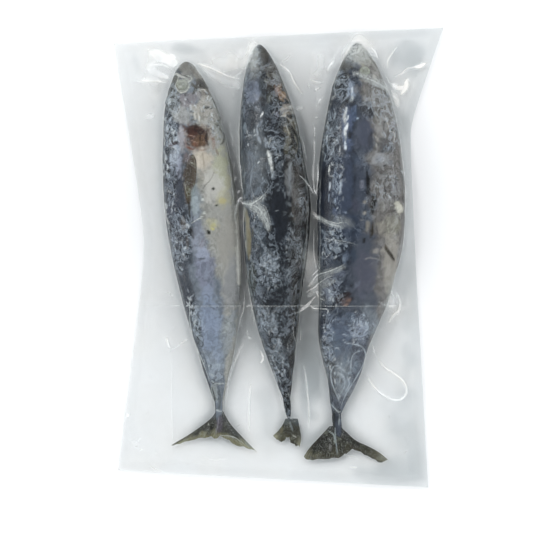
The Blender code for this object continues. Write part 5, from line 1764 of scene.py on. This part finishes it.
def inside_bag(x, y):
    left, right = both_sides(y)
    across = (x - left) / (right - left)
    foot_y, head_y = both_ends(across)
    return (across > 0) & (across < 1) & (y > foot_y) & (y < head_y)


def edge_height(x, y):
    """The bag's edge lies in slow waves just over the ground."""
    along = EDGE_WAVE * np.sin(2 * np.pi * y / EDGE_WAVE_LENGTH)
    across = CROSS_WAVE * np.cos(2 * np.pi * x / CROSS_WAVE_LENGTH)
    return EDGE_HEIGHT + along + across


def neighbours_mean(grid):
    around = np.pad(grid, 1, mode="edge")
    sides = around[:-2, 1:-1] + around[2:, 1:-1] + around[1:-1, :-2] + around[1:-1, 2:]
    return sides / 4


def smoothed(grid):
    for _ in range(SMOOTHING_ROUNDS):
        grid = (grid + neighbours_mean(grid)) / 2
    return grid


def weld_heights(x, y, pinned, pinned_heights):
    """The middle of the welded film, stretched like a skin from fish to edge."""
    fixed = pinned | ~inside_bag(x, y)
    held = np.where(pinned, pinned_heights, edge_height(x, y))
    heights = held.copy()
    for _ in range(SETTLING_ROUNDS):
        heights = np.where(fixed, held, neighbours_mean(heights))
    return heights


def rolled(heights, radius):
    """Heights raised to where a ball rolled under them would lift them."""
    reach = int(radius / CELL)
    around = np.pad(heights, reach, mode="edge")
    tall, wide = heights.shape
    raised = np.full(heights.shape, -np.inf)
    for row in range(-reach, reach + 1):
        for column in range(-reach, reach + 1):
            away = (row * row + column * column) * CELL * CELL
            if away > radius * radius:
                continue
            drop = radius - math.sqrt(radius * radius - away)
            part = around[reach + row:reach + row + tall, reach + column:reach + column + wide]
            raised = np.maximum(raised, part - drop)
    return raised


def bridged(heights, radius):
    """Film over heights: it can't bend into a hollow tighter than the radius."""
    return -rolled(-rolled(heights, radius), radius)


def struck_heights(pieces, x, y):
    """Highest and lowest surface of the pieces over each lattice point, and where they are."""
    points, faces, first = [], [], 0
    for piece in pieces:
        points += [tuple(vertex.co) for vertex in piece.data.vertices]
        faces += [tuple(first + corner for corner in face.vertices)
                  for face in piece.data.polygons]
        first = len(points)
    tree = BVHTree.FromPolygons(points, faces)
    tops = np.full(x.size, -1.0)
    bottoms = np.full(x.size, 1.0)
    down, up = Vector((0, 0, -1)), Vector((0, 0, 1))
    for index, (px, py) in enumerate(zip(x.ravel().tolist(), y.ravel().tolist())):
        hit = tree.ray_cast(Vector((px, py, 1)), down)[0]
        if hit is not None:
            tops[index] = hit.z
            bottoms[index] = tree.ray_cast(Vector((px, py, -1)), up)[0].z
    tops, bottoms = tops.reshape(x.shape), bottoms.reshape(x.shape)
    return tops, bottoms, tops > 0


def spread_over(grid, pick):
    """Each value replaced by the highest or lowest of itself and its eight neighbours."""
    around = np.pad(grid, 1, mode="edge")
    tall, wide = grid.shape
    parts = [around[row:row + tall, column:column + wide] for row in range(3) for column in range(3)]
    return pick(np.stack(parts), axis=0)


def blurred(grid, reach):
    """A lattice blurred over about this reach, by repeated averages."""
    for _ in range(int((reach / CELL) ** 2)):
        grid = neighbours_mean(grid)
    return grid


def film_heights(pieces):
    """Lattices of the upper film, the lower film and the gap under the upper one."""
    xs = np.arange(-REACH_X, REACH_X + CELL / 2, CELL)
    ys = np.arange(-REACH_Y, REACH_Y + CELL / 2, CELL)
    x, y = np.meshgrid(xs, ys)
    tops, bottoms, inside = struck_heights(pieces, x, y)
    middles = np.where(inside, np.minimum((tops + bottoms) / 2, TUCK_HEIGHT), 0)
    weld = weld_heights(x, y, inside, middles)
    high = spread_over(np.where(inside, tops, -1), np.max)
    low = spread_over(np.where(inside, bottoms, 1), np.min)
    upper = np.maximum(weld + WELD_THICKNESS / 2, np.where(inside, tops + FILM_CLEARANCE, 0))
    lower = np.minimum(weld - WELD_THICKNESS / 2, np.where(inside, bottoms - FILM_CLEARANCE, 1))
    upper = smoothed(bridged(upper, FILM_BEND_RADIUS))
    lower = smoothed(-bridged(-lower, FILM_BEND_RADIUS))
    upper = np.maximum(upper, high + LEAST_CLEARANCE)
    lower = np.clip(np.minimum(lower, low - LEAST_CLEARANCE), FLOOR_CLEARANCE, None)
    gap = np.where(inside, upper - tops, upper - weld)
    return upper, lower, gap, inside


def sampled(heights, x, y):
    """Heights read between lattice points."""
    column = np.clip((x + REACH_X) / CELL, 0, heights.shape[1] - 1.001)
    row = np.clip((y + REACH_Y) / CELL, 0, heights.shape[0] - 1.001)
    c, r = column.astype(int), row.astype(int)
    fc, fr = column - c, row - r
    near = heights[r, c] * (1 - fc) + heights[r, c + 1] * fc
    far = heights[r + 1, c] * (1 - fc) + heights[r + 1, c + 1] * fc
    return near * (1 - fr) + far * fr


def small_wrinkles():
    """Short folds scattered over the slack film, at random but the same each run."""
    draw = np.random.default_rng(WRINKLE_SEED)
    for _ in range(WRINKLE_COUNT):
        across, along = draw.uniform(*WRINKLE_ACROSS), draw.uniform(*WRINKLE_ALONG)
        x, y = bag_point(across, along)
        run = heading(draw.normal(math.pi / 2, WRINKLE_TURN))
        length = draw.uniform(*WRINKLE_LENGTHS)
        bend = beside(run) * (draw.normal(0, WRINKLE_BEND) * length)
        middle = np.array([x, y]) / MM
        line = (middle - run * length / 2, middle + bend, middle + run * length / 2)
        yield Crease(tuple(map(tuple, line)), draw.uniform(*WRINKLE_HEIGHTS),
                     draw.uniform(*WRINKLE_HALF_WIDTHS), draw.uniform(*WRINKLE_WHITES))


def in_layers(creases):
    """Creases sorted into layers, in which each keeps clear of the others."""
    layers = []
    for crease in creases:
        line = smooth_line(crease.line, 6)
        for layer in layers:
            gaps = [np.linalg.norm(line[:, None] - other[None], axis=2).min() for _, other in layer]
            if min(gaps) > CREASE_SPACING:
                layer.append((crease, line))
                break
        else:
            layers.append([(crease, line)])
    return layers


def crease_layer(x, y, layer):
    """For one layer: ridge height, signed distance in half widths, and whiteness of the painted
    highlight.
    """
    height, white = np.zeros((2, len(x)))
    side = np.full(len(x), float(FARTHEST_LINE))
    for crease, line in layer:
        low, high = line.min(0) - CREASE_REACH, line.max(0) + CREASE_REACH
        near = np.flatnonzero((x > low[0]) & (x < high[0]) & (y > low[1]) & (y < high[1]))
        nearest, signed, place = nearest_on(line, np.stack([x[near], y[near]], axis=-1))
        taper = np.clip(CREASE_FILL * place * (1 - place), 0, 1) ** CREASE_POINTING
        width = crease.half_width * LINE_SPREAD * MM
        slope = np.exp(-np.abs(nearest / (RIDGE_SPREAD * width)) ** RIDGE_POWER)
        ridge = crease.height * MM * taper * slope
        height[near] = np.maximum(height[near], ridge)
        inside = nearest < CREASE_REACH
        side[near[inside]] = (signed / width)[inside]
        white[near[inside]] = (crease.white * taper)[inside]
    return height, side, white


def film_layers():
    """All creases of the film, sorted into layers that its material draws."""
    return in_layers(CREASES + tuple(small_wrinkles()))


def seal_amount(across, x, y):
    """1 on the welded bands along the bag's edges, their inner line, and the painted shade near the rim.
    """
    left, right = both_sides(y)
    foot_y, head_y = both_ends(across)
    inset = np.minimum.reduce([x - left, right - x, y - foot_y, head_y - y])
    band = 1 - risen(inset, SEAL_WIDTH - SEAL_SOFTNESS, SEAL_WIDTH + SEAL_SOFTNESS)
    border = np.exp(-(((inset - SEAL_WIDTH) / SEAL_SOFTNESS) ** 2))
    shade = RIM_SHADE[0] + (RIM_SHADE[1] - RIM_SHADE[0]) * across
    return band, border, shade * (1 - risen(inset, 0, RIM_REACH))


def sheet_grid(columns, rows):
    across, along = np.meshgrid(np.linspace(0, 1, columns + 1), np.linspace(0, 1, rows + 1))
    return across.ravel(), along.ravel()


def sheet_faces(first, columns, rows, flip):
    """Quads of one sheet whose points start at number first."""
    faces = []
    for row in range(rows):
        for column in range(columns):
            a = first + row * (columns + 1) + column
            quad = (a, a + 1, a + columns + 2, a + columns + 1)
            faces.append(quad[::-1] if flip else quad)
    return faces


def rim(columns, rows):
    """Numbers of a grid's border points, anticlockwise from its first corner."""
    wide = columns + 1
    return (list(range(columns)) + [row * wide + columns for row in range(rows)]
            + [rows * wide + column for column in range(columns, 0, -1)]
            + [row * wide for row in range(rows, 0, -1)])


def rim_faces(second):
    """Fans that join the fine upper sheet to the coarser lower one round the edge."""
    fine = rim(*UPPER_SHEET)
    coarse = [second + a for a in rim(*LOWER_SHEET)]
    faces = []
    for number, a in enumerate(coarse):
        b = coarse[(number + 1) % len(coarse)]
        run = [fine[(number * LOWER_STEP + step) % len(fine)] for step in range(LOWER_STEP + 1)]
        half = LOWER_STEP // 2
        for step in range(half):
            faces.append((a, run[step + 1], run[step]))
        faces.append((a, b, run[half]))
        for step in range(half, LOWER_STEP):
            faces.append((b, run[step + 1], run[step]))
    return faces


def make_film(pieces, material):
    """The bag: one closed skin of film drawn tight round the fish."""
    upper, lower, gap, inside = film_heights(pieces)
    across, along = sheet_grid(*UPPER_SHEET)
    x, y = bag_point(across, along)
    flat = np.stack([x, y, 0 * x], axis=-1)
    layers = [crease_layer(x, y, layer) for layer in film_layers()]
    folds = np.max([layer[0] for layer in layers], axis=0)
    band, border, rim_shade = seal_amount(across, x, y)
    over_fish = sampled(inside.astype(float), x, y)
    level = 1 / np.sqrt(1 + np.sum(np.square(np.gradient(upper, CELL)), axis=0))
    drawn = risen(sampled(level, x, y), *STEEP_FILM)
    slack = noises_at(flat, FILM_SLACK) * MM
    cling = noises_at(flat, FILM_CLING) * MM
    ripple = np.where(over_fish > 0.5, cling + CLING_LIFT, (slack + SLACK_LIFT) * (1 - band))
    z = sampled(upper, x, y) + folds * (1 - WELD_FLATTENING * band) + ripple
    top = np.stack([x, y, z], axis=-1)
    low_across, low_along = sheet_grid(*LOWER_SHEET)
    low_x, low_y = bag_point(low_across, low_along)
    bottom = np.stack([low_x, low_y, sampled(lower, low_x, low_y)], axis=-1)
    faces = (sheet_faces(0, *UPPER_SHEET, False) + sheet_faces(len(top), *LOWER_SHEET, True)
             + rim_faces(len(top)))
    film = new_piece("bag_film", np.concatenate([top, bottom]), faces, material)
    ragged = noises_at(flat, HAZE_EDGES)
    # Painted shade: the film darkens between and beside the fish, in the listed shaded places and along
    # the rim
    painted_shade = np.minimum(sampled(blurred(inside.astype(float), SHADE_BETWEEN_FISH_REACH), x, y), MOST_SHADE_BETWEEN_FISH)
    painted_shade = np.maximum(painted_shade, amount_at(flat, 0, SHADED_FILM, ragged, HAZE_CORE))
    painted_shade = np.maximum(painted_shade, rim_shade)
    # Milky haze, with glare painted over it as white haze where the sheens are
    haze_and_sheen = amount_at(flat, 0, FILM_HAZE_AND_GLARE, ragged, HAZE_CORE)
    for sheen in SHEENS:
        haze_and_sheen = np.maximum(haze_and_sheen, sheen.strength * drawn * covered_by(flat, sheen, 0.6 * ragged))
    margin = MARGIN_MILK * (1 - over_fish) * (1 - 0.75 * risen(painted_shade, 0.2, 0.4))
    numbers = {"haze_and_sheen": np.maximum(haze_and_sheen, margin), "painted_shade": painted_shade * (1 - over_fish),
               "gap": np.clip(sampled(gap, x, y) / MM, 0, MOST_GAP) * over_fish,
               "seal": np.clip(band + 0.5 * border, 0, 1.2), "over": over_fish}
    for number, (_, side, white) in enumerate(layers):
        numbers["side_%d" % number] = np.clip(side, -FARTHEST_LINE, FARTHEST_LINE)
        numbers["white_%d" % number] = white * drawn
    for name, values in numbers.items():
        set_numbers(film, name, np.concatenate([values, np.zeros(len(bottom))]))
    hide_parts("vacuum_bag")
    return film


def new_material(name):
    """An empty material: its node tree and the socket of its surface."""
    material = bpy.data.materials.new(name)
    material.use_nodes = True
    tree = material.node_tree
    tree.nodes.clear()
    output = tree.nodes.new("ShaderNodeOutputMaterial")
    return material, tree, output.inputs["Surface"]


def add(tree, kind, options=None, **inputs):
    """A node with its options and inputs set; an input is a value or a socket."""
    node = tree.nodes.new("ShaderNode" + kind)
    for name, value in (options or {}).items():
        setattr(node, name, value)
    for name, value in inputs.items():
        plug(tree, value, node.inputs[name.replace("_", " ")])
    return node


def plug(tree, value, socket):
    if isinstance(value, bpy.types.NodeSocket):
        tree.links.new(value, socket)
    else:
        socket.default_value = value


def maths(tree, operation, *values):
    node = tree.nodes.new("ShaderNodeMath")
    node.operation = operation
    for value, socket in zip(values, node.inputs):
        plug(tree, value, socket)
    return node.outputs[0]


def times(tree, a, b):
    return maths(tree, "MULTIPLY", a, b)


def plus(tree, a, b):
    return maths(tree, "ADD", a, b)


def larger(tree, a, b):
    return maths(tree, "MAXIMUM", a, b)


def mixed(tree, factor, a, b):
    """A blend of two colours."""
    node = tree.nodes.new("ShaderNodeMix")
    node.data_type = "RGBA"
    for value, socket in zip((factor, a, b), (node.inputs[0], node.inputs[6], node.inputs[7])):
        plug(tree, value, socket)
    return node.outputs[2]


def between(tree, value, low, high, to_low=0.0, to_high=1.0):
    """A value mapped smoothly from one range to another."""
    return add(tree, "MapRange", {"interpolation_type": "SMOOTHSTEP"}, Value=value, From_Min=low,
               From_Max=high, To_Min=to_low, To_Max=to_high).outputs[0]


def stored(tree, name):
    """The number that a piece stores at its points under this name."""
    return add(tree, "Attribute", {"attribute_name": name}).outputs["Fac"]


def placed(tree, stretch=(1, 1, 1)):
    """The place on the object, stretched by a factor on each axis."""
    place = add(tree, "TexCoord").outputs["Object"]
    return add(tree, "Mapping", Vector=place, Scale=stretch).outputs[0]


def noise(tree, place, size, detail=3.0, rough=0.5, twist=0.0):
    """Noise from 0 to 1 with bumps of about this size."""
    return add(tree, "TexNoise", Vector=place, Scale=1 / size, Detail=detail,
               Roughness=rough, Distortion=twist).outputs["Fac"]


def vein(tree, value, middle, width):
    """Thin lines where a noise passes through its middle value."""
    away = maths(tree, "ABSOLUTE", maths(tree, "SUBTRACT", value, middle))
    return between(tree, away, 0.0, width, 1.0, 0.0)


def fish_skin():
    """Wet skin under film: dark cells, pale veins of ice and liquid, fine grain."""
    material, tree, surface = new_material("fish_skin")
    tint = add(tree, "Attribute", {"attribute_name": "tint"}).outputs["Color"]
    frost, speckle = stored(tree, "frost"), stored(tree, "speckle")
    place = placed(tree, (1, 0.72, 1))
    cells = noise(tree, place, SKIN_CELLS, 2, 0.5, 1.4)
    small = noise(tree, place, SKIN_GRAIN, 2, 0.55, 0.9)
    broad = noise(tree, place, SKIN_BLOTCHES, 2, 0.5)
    shape = maths(tree, "MULTIPLY_ADD", small, 0.3, maths(tree, "SUBTRACT", cells, 0.15))
    dark = between(tree, shape, 0.52, 0.42)
    dark = times(tree, dark, times(tree, speckle, 0.85))
    deep = mixed(tree, dark, tint, mixed(tree, 0.72, tint, rgba(DARKEST_SKIN)))
    mottle = plus(tree, between(tree, small, 0.3, 0.7, -0.2, 0.2),
                  between(tree, broad, 0.3, 0.7, -0.08, 0.08))
    coarse = maths(tree, "MULTIPLY_ADD", speckle, 0.7, 0.3)
    grain = maths(tree, "MULTIPLY_ADD", mottle, coarse, 1.0)
    grained = add(tree, "HueSaturation", Value=grain, Saturation=0.78, Color=deep).outputs[0]
    gate = maths(tree, "MULTIPLY_ADD", broad, 0.9, maths(tree, "SUBTRACT", frost, 0.45))
    gate = between(tree, gate, 0.25, 0.75)
    rims = larger(tree, vein(tree, shape, 0.53, 0.022), vein(tree, shape, 0.63, 0.018))
    threads = times(tree, vein(tree, small, 0.56, 0.03), 0.4)
    lines = larger(tree, rims, threads)
    filled = times(tree, between(tree, shape, 0.52, 0.56), between(tree, shape, 0.66, 0.6))
    pale = larger(tree, times(tree, lines, 0.85), times(tree, filled, 0.2))
    pale = times(tree, pale, gate)
    skin = mixed(tree, pale, grained, rgba(ICE_ON_SKIN))
    height = maths(tree, "MULTIPLY_ADD", pale, 0.6, times(tree, cells, 0.5))
    normal = add(tree, "Bump", Height=height, Strength=0.5, Distance=0.5 * MM).outputs[0]
    shader = add(tree, "BsdfPrincipled", Base_Color=skin, Normal=normal,
                 Roughness=between(tree, cells, 0.3, 0.7, 0.4, 0.6), Specular_IOR_Level=0.2)
    tree.links.new(shader.outputs[0], surface)
    return material


def fin_rays():
    """Thin horny fin: dark rays over olive webbing, paler where it is thin."""
    material, tree, surface = new_material("fin_rays")
    tint = add(tree, "Attribute", {"attribute_name": "tint"}).outputs["Color"]
    ray = stored(tree, "ray")
    place = placed(tree)
    cloud = noise(tree, place, FIN_BLOTCHES, 4, 0.6)
    wave = maths(tree, "SINE", plus(tree, times(tree, ray, FIN_STRIPES), times(tree, cloud, 3.0)))
    stripe = between(tree, wave, -0.6, 0.8)
    streaked = mixed(tree, times(tree, stripe, 0.35), tint, rgba(DARK_RAY))
    patchy = mixed(tree, between(tree, cloud, 0.52, 0.7, 0.0, 0.35), streaked, rgba(PALE_WEB))
    veins = vein(tree, noise(tree, place, FIN_VEINS, 4, 0.5, 1.5), 0.5, 0.025)
    iced = mixed(tree, times(tree, veins, 0.35), patchy, rgba(ICE_ON_FIN))
    normal = add(tree, "Bump", Height=wave, Strength=0.4, Distance=0.15 * MM).outputs[0]
    shader = add(tree, "BsdfPrincipled", Base_Color=iced, Normal=normal,
                 Roughness=between(tree, cloud, 0.3, 0.7, 0.32, 0.5), Specular_IOR_Level=0.25)
    tree.links.new(shader.outputs[0], surface)
    return material


def clouded_eye():
    """A dead eye gone milky: dark pupil under haze, with a pale rim."""
    material, tree, surface = new_material("clouded_eye")
    reach = stored(tree, "reach")
    haze = noise(tree, placed(tree), 2.2 * MM, 4, 0.6, 0.5)
    pupil = between(tree, plus(tree, reach, times(tree, haze, 0.12)), 0.42, 0.56)
    inner = mixed(tree, pupil, rgba(PUPIL), rgba(CLOUDED_LENS))
    ring = mixed(tree, between(tree, reach, 0.78, 0.9), inner, rgba(EYE_RING))
    milky = mixed(tree, between(tree, haze, 0.4, 0.7, 0.0, 0.4), ring, rgba(EYE_MILK))
    shader = add(tree, "BsdfPrincipled", Base_Color=milky,
                 Roughness=between(tree, haze, 0.3, 0.7, 0.12, 0.25), Specular_IOR_Level=0.3)
    tree.links.new(shader.outputs[0], surface)
    return material


def fold_lines(tree, layers):
    """Painted highlight along the fine fold lines, and painted shade beside them."""
    bright, shade = 0.0, 0.0
    for number in range(layers):
        side, white = stored(tree, "side_%d" % number), stored(tree, "white_%d" % number)
        line = between(tree, maths(tree, "ABSOLUTE", side), 0.0, 1.2, 1.0, 0.0)
        bright = larger(tree, bright, times(tree, line, white))
        away = maths(tree, "ABSOLUTE", maths(tree, "SUBTRACT", side, 1.7))
        dim = between(tree, away, 0.0, 1.0, 1.0, 0.0)
        shade = larger(tree, shade, times(tree, dim, white))
    return bright, shade


def clear_film():
    """Clear film: see-through, glossy at a slant, whitened in welds and haze, with painted highlights on
    its folds and sheens and painted shade where it is darker.
    """
    material, tree, surface = new_material("clear_film")
    haze_and_sheen, painted_shade = stored(tree, "haze_and_sheen"), stored(tree, "painted_shade")
    gap, seal, over = stored(tree, "gap"), stored(tree, "seal"), stored(tree, "over")
    bright, shade = fold_lines(tree, len(film_layers()))
    place = placed(tree)
    mist = noise(tree, place, FILM_MIST, 3, 0.55)
    cling = noise(tree, placed(tree, (1, 0.45, 1)), FILM_CREEP, 3, 0.6, 0.8)
    fine = noise(tree, place, FILM_CRINKLE, 4, 0.55, 0.6)
    broken = between(tree, noise(tree, place, 3 * MM, 2, 0.5), 0.35, 0.6, 0.75, 1.0)
    bright = times(tree, bright, broken)
    leaves = times(tree, between(tree, gap, 1.8, 2.4), between(tree, gap, 3.6, 2.8))
    ribs = add(tree, "TexWave", {"bands_direction": "DIAGONAL"}, Vector=place,
               Scale=1 / FILM_SEAM_RIBS, Distortion=0.0).outputs["Fac"]
    tight = maths(tree, "MULTIPLY_ADD", over, 0.8, 0.2)
    bumps = maths(tree, "MULTIPLY_ADD", cling, 1.0, times(tree, fine, 0.8))
    bumps = times(tree, bumps, tight)
    bumps = plus(tree, bumps, times(tree, times(tree, ribs, seal), 0.3))
    bumps = plus(tree, bumps, times(tree, bright, 0.4))
    normal = add(tree, "Bump", Height=bumps, Strength=0.6, Distance=0.4 * MM).outputs[0]
    slant = add(tree, "Fresnel", IOR=1.45, Normal=normal).outputs[0]
    shine = maths(tree, "MULTIPLY_ADD", bright, 0.1, times(tree, slant, 0.28))
    shine = maths(tree, "MINIMUM", shine, 0.9)
    # Painted shade: the film lets less through where shade is painted on it and beside its folds
    shade_amount = larger(tree, between(tree, painted_shade, 0.1, 0.55, 0.0, 0.8), times(tree, shade, 0.8))
    through = add(tree, "BsdfTransparent", Color=mixed(tree, shade_amount, CLEAR_FILM, FILM_IN_SHADE))
    gloss = add(tree, "BsdfPrincipled", Base_Color=FILM_SHINE, Metallic=1.0,
                Roughness=0.16, Normal=normal)
    clear = add(tree, "MixShader", Fac=shine)
    tree.links.new(through.outputs[0], clear.inputs[1])
    tree.links.new(gloss.outputs[0], clear.inputs[2])
    # Milky haze and painted highlights: white laid over the film, broken up by noise
    haze_and_highlight = times(tree, haze_and_sheen, between(tree, mist, 0.3, 0.65, 0.7, 1.15))
    torn = noise(tree, placed(tree, (1, 0.6, 1)), FILM_CREEP, 3, 0.6, 1.0)
    torn = times(tree, between(tree, torn, 0.35, 0.62, -0.45, 0.3), over)
    haze_and_highlight = maths(tree, "MULTIPLY_ADD", haze_and_highlight, torn, haze_and_highlight)
    leaves = times(tree, leaves, between(tree, fine, 0.35, 0.6, 0.2, 1.0))
    haze_and_highlight = plus(tree, haze_and_highlight, times(tree, leaves, 0.22))
    haze_and_highlight = plus(tree, haze_and_highlight, times(tree, seal, 0.04))
    # Painted highlight along the fold lines, weaker over the fish
    whiteness = maths(tree, "MULTIPLY_ADD", over, -0.18, 0.7)
    haze_and_highlight = plus(tree, haze_and_highlight, times(tree, bright, whiteness))
    haze_and_highlight = maths(tree, "MINIMUM", haze_and_highlight, 0.9)
    white = mixed(tree, between(tree, mist, 0.4, 0.6), rgba(COOL_HAZE_AND_GLARE), rgba(WARM_HAZE_AND_GLARE))
    thin = times(tree, over, between(tree, haze_and_sheen, 0.4, 0.6, 1.0, 0.0))
    # One white shader serves the milky haze and the painted highlights alike
    haze = add(tree, "BsdfPrincipled", Roughness=0.4, Normal=normal, Specular_IOR_Level=0.3,
               Base_Color=mixed(tree, thin, white, rgba(MILK_OVER_FISH)))
    film = add(tree, "MixShader", Fac=haze_and_highlight)
    tree.links.new(clear.outputs[0], film.inputs[1])
    tree.links.new(haze.outputs[0], film.inputs[2])
    tree.links.new(film.outputs[0], surface)
    return material


def pale_floor():
    material, tree, surface = new_material("pale_floor")
    shader = add(tree, "BsdfPrincipled", Base_Color=FLOOR_COLOUR, Roughness=0.8)
    tree.links.new(shader.outputs[0], surface)
    return material


def make_floor():
    points = [(x * FLOOR_HALF, y * FLOOR_HALF, 0)
              for x, y in ((-1, -1), (1, -1), (1, 1), (-1, 1))]
    mesh = bpy.data.meshes.new("floor")
    mesh.from_pydata(points, [], [(0, 1, 2, 3)])
    mesh.materials.append(pale_floor())
    floor = bpy.data.objects.new("floor", mesh)
    bpy.context.scene.collection.objects.link(floor)


def area_light(name, place, target, size, power):
    light = bpy.data.lights.new(name, "AREA")
    light.shape = "RECTANGLE"
    light.size, light.size_y = size
    light.energy = power
    lamp = bpy.data.objects.new(name, light)
    lamp.location = place
    lamp.rotation_euler = (Vector(target) - Vector(place)).to_track_quat("-Z", "Y").to_euler()
    bpy.context.scene.collection.objects.link(lamp)


def light_the_stage():
    scene = bpy.context.scene
    scene.view_settings.view_transform = "Standard"
    world = bpy.data.worlds.new("soft_room")
    world.use_nodes = True
    tree = world.node_tree
    height = add(tree, "SeparateXYZ", Vector=add(tree, "TexCoord").outputs["Generated"]).outputs["Z"]
    background = tree.nodes["Background"]
    plug(tree, between(tree, height, *ROOM_FADE, *ROOM_STRENGTHS), background.inputs["Strength"])
    background.inputs["Color"].default_value = ROOM_COLOUR
    scene.world = world
    area_light("strip_light", STRIP_AT, STRIP_TARGET, STRIP_SIZE, STRIP_POWER)


def place_camera():
    camera = bpy.data.cameras.new("camera")
    camera.lens = LENS
    camera.sensor_width = SENSOR
    eye = bpy.data.objects.new("camera", camera)
    eye.location = (*FRAME_CENTRE, FRAME_WIDTH * LENS / SENSOR)
    bpy.context.scene.collection.objects.link(eye)
    bpy.context.scene.camera = eye


def make_fish():
    """All pieces of the three fish."""
    skin, rays, eye = fish_skin(), fin_rays(), clouded_eye()
    pieces = [make_body(fish, skin) for fish in SHOAL]
    pieces += [make_tail(fish, rays, *colours) for fish, colours in zip(SHOAL, TAIL_COLOURS)]
    pieces.append(make_eye(LEFT_FISH, *LEFT_EYE, eye))
    pieces.append(make_eye(RIGHT_FISH, *RIGHT_EYE, eye))
    pieces.append(make_chest_fin(rays))
    return pieces


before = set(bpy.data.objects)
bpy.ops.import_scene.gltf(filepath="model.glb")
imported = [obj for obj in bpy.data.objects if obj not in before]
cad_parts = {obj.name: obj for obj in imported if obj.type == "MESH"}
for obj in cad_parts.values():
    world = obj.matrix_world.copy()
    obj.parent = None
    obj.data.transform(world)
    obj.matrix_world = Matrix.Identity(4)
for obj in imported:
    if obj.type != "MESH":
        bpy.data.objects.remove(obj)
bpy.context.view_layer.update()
place_camera()
light_the_stage()
make_floor()
fish_pieces = make_fish()
make_film(fish_pieces, clear_film())
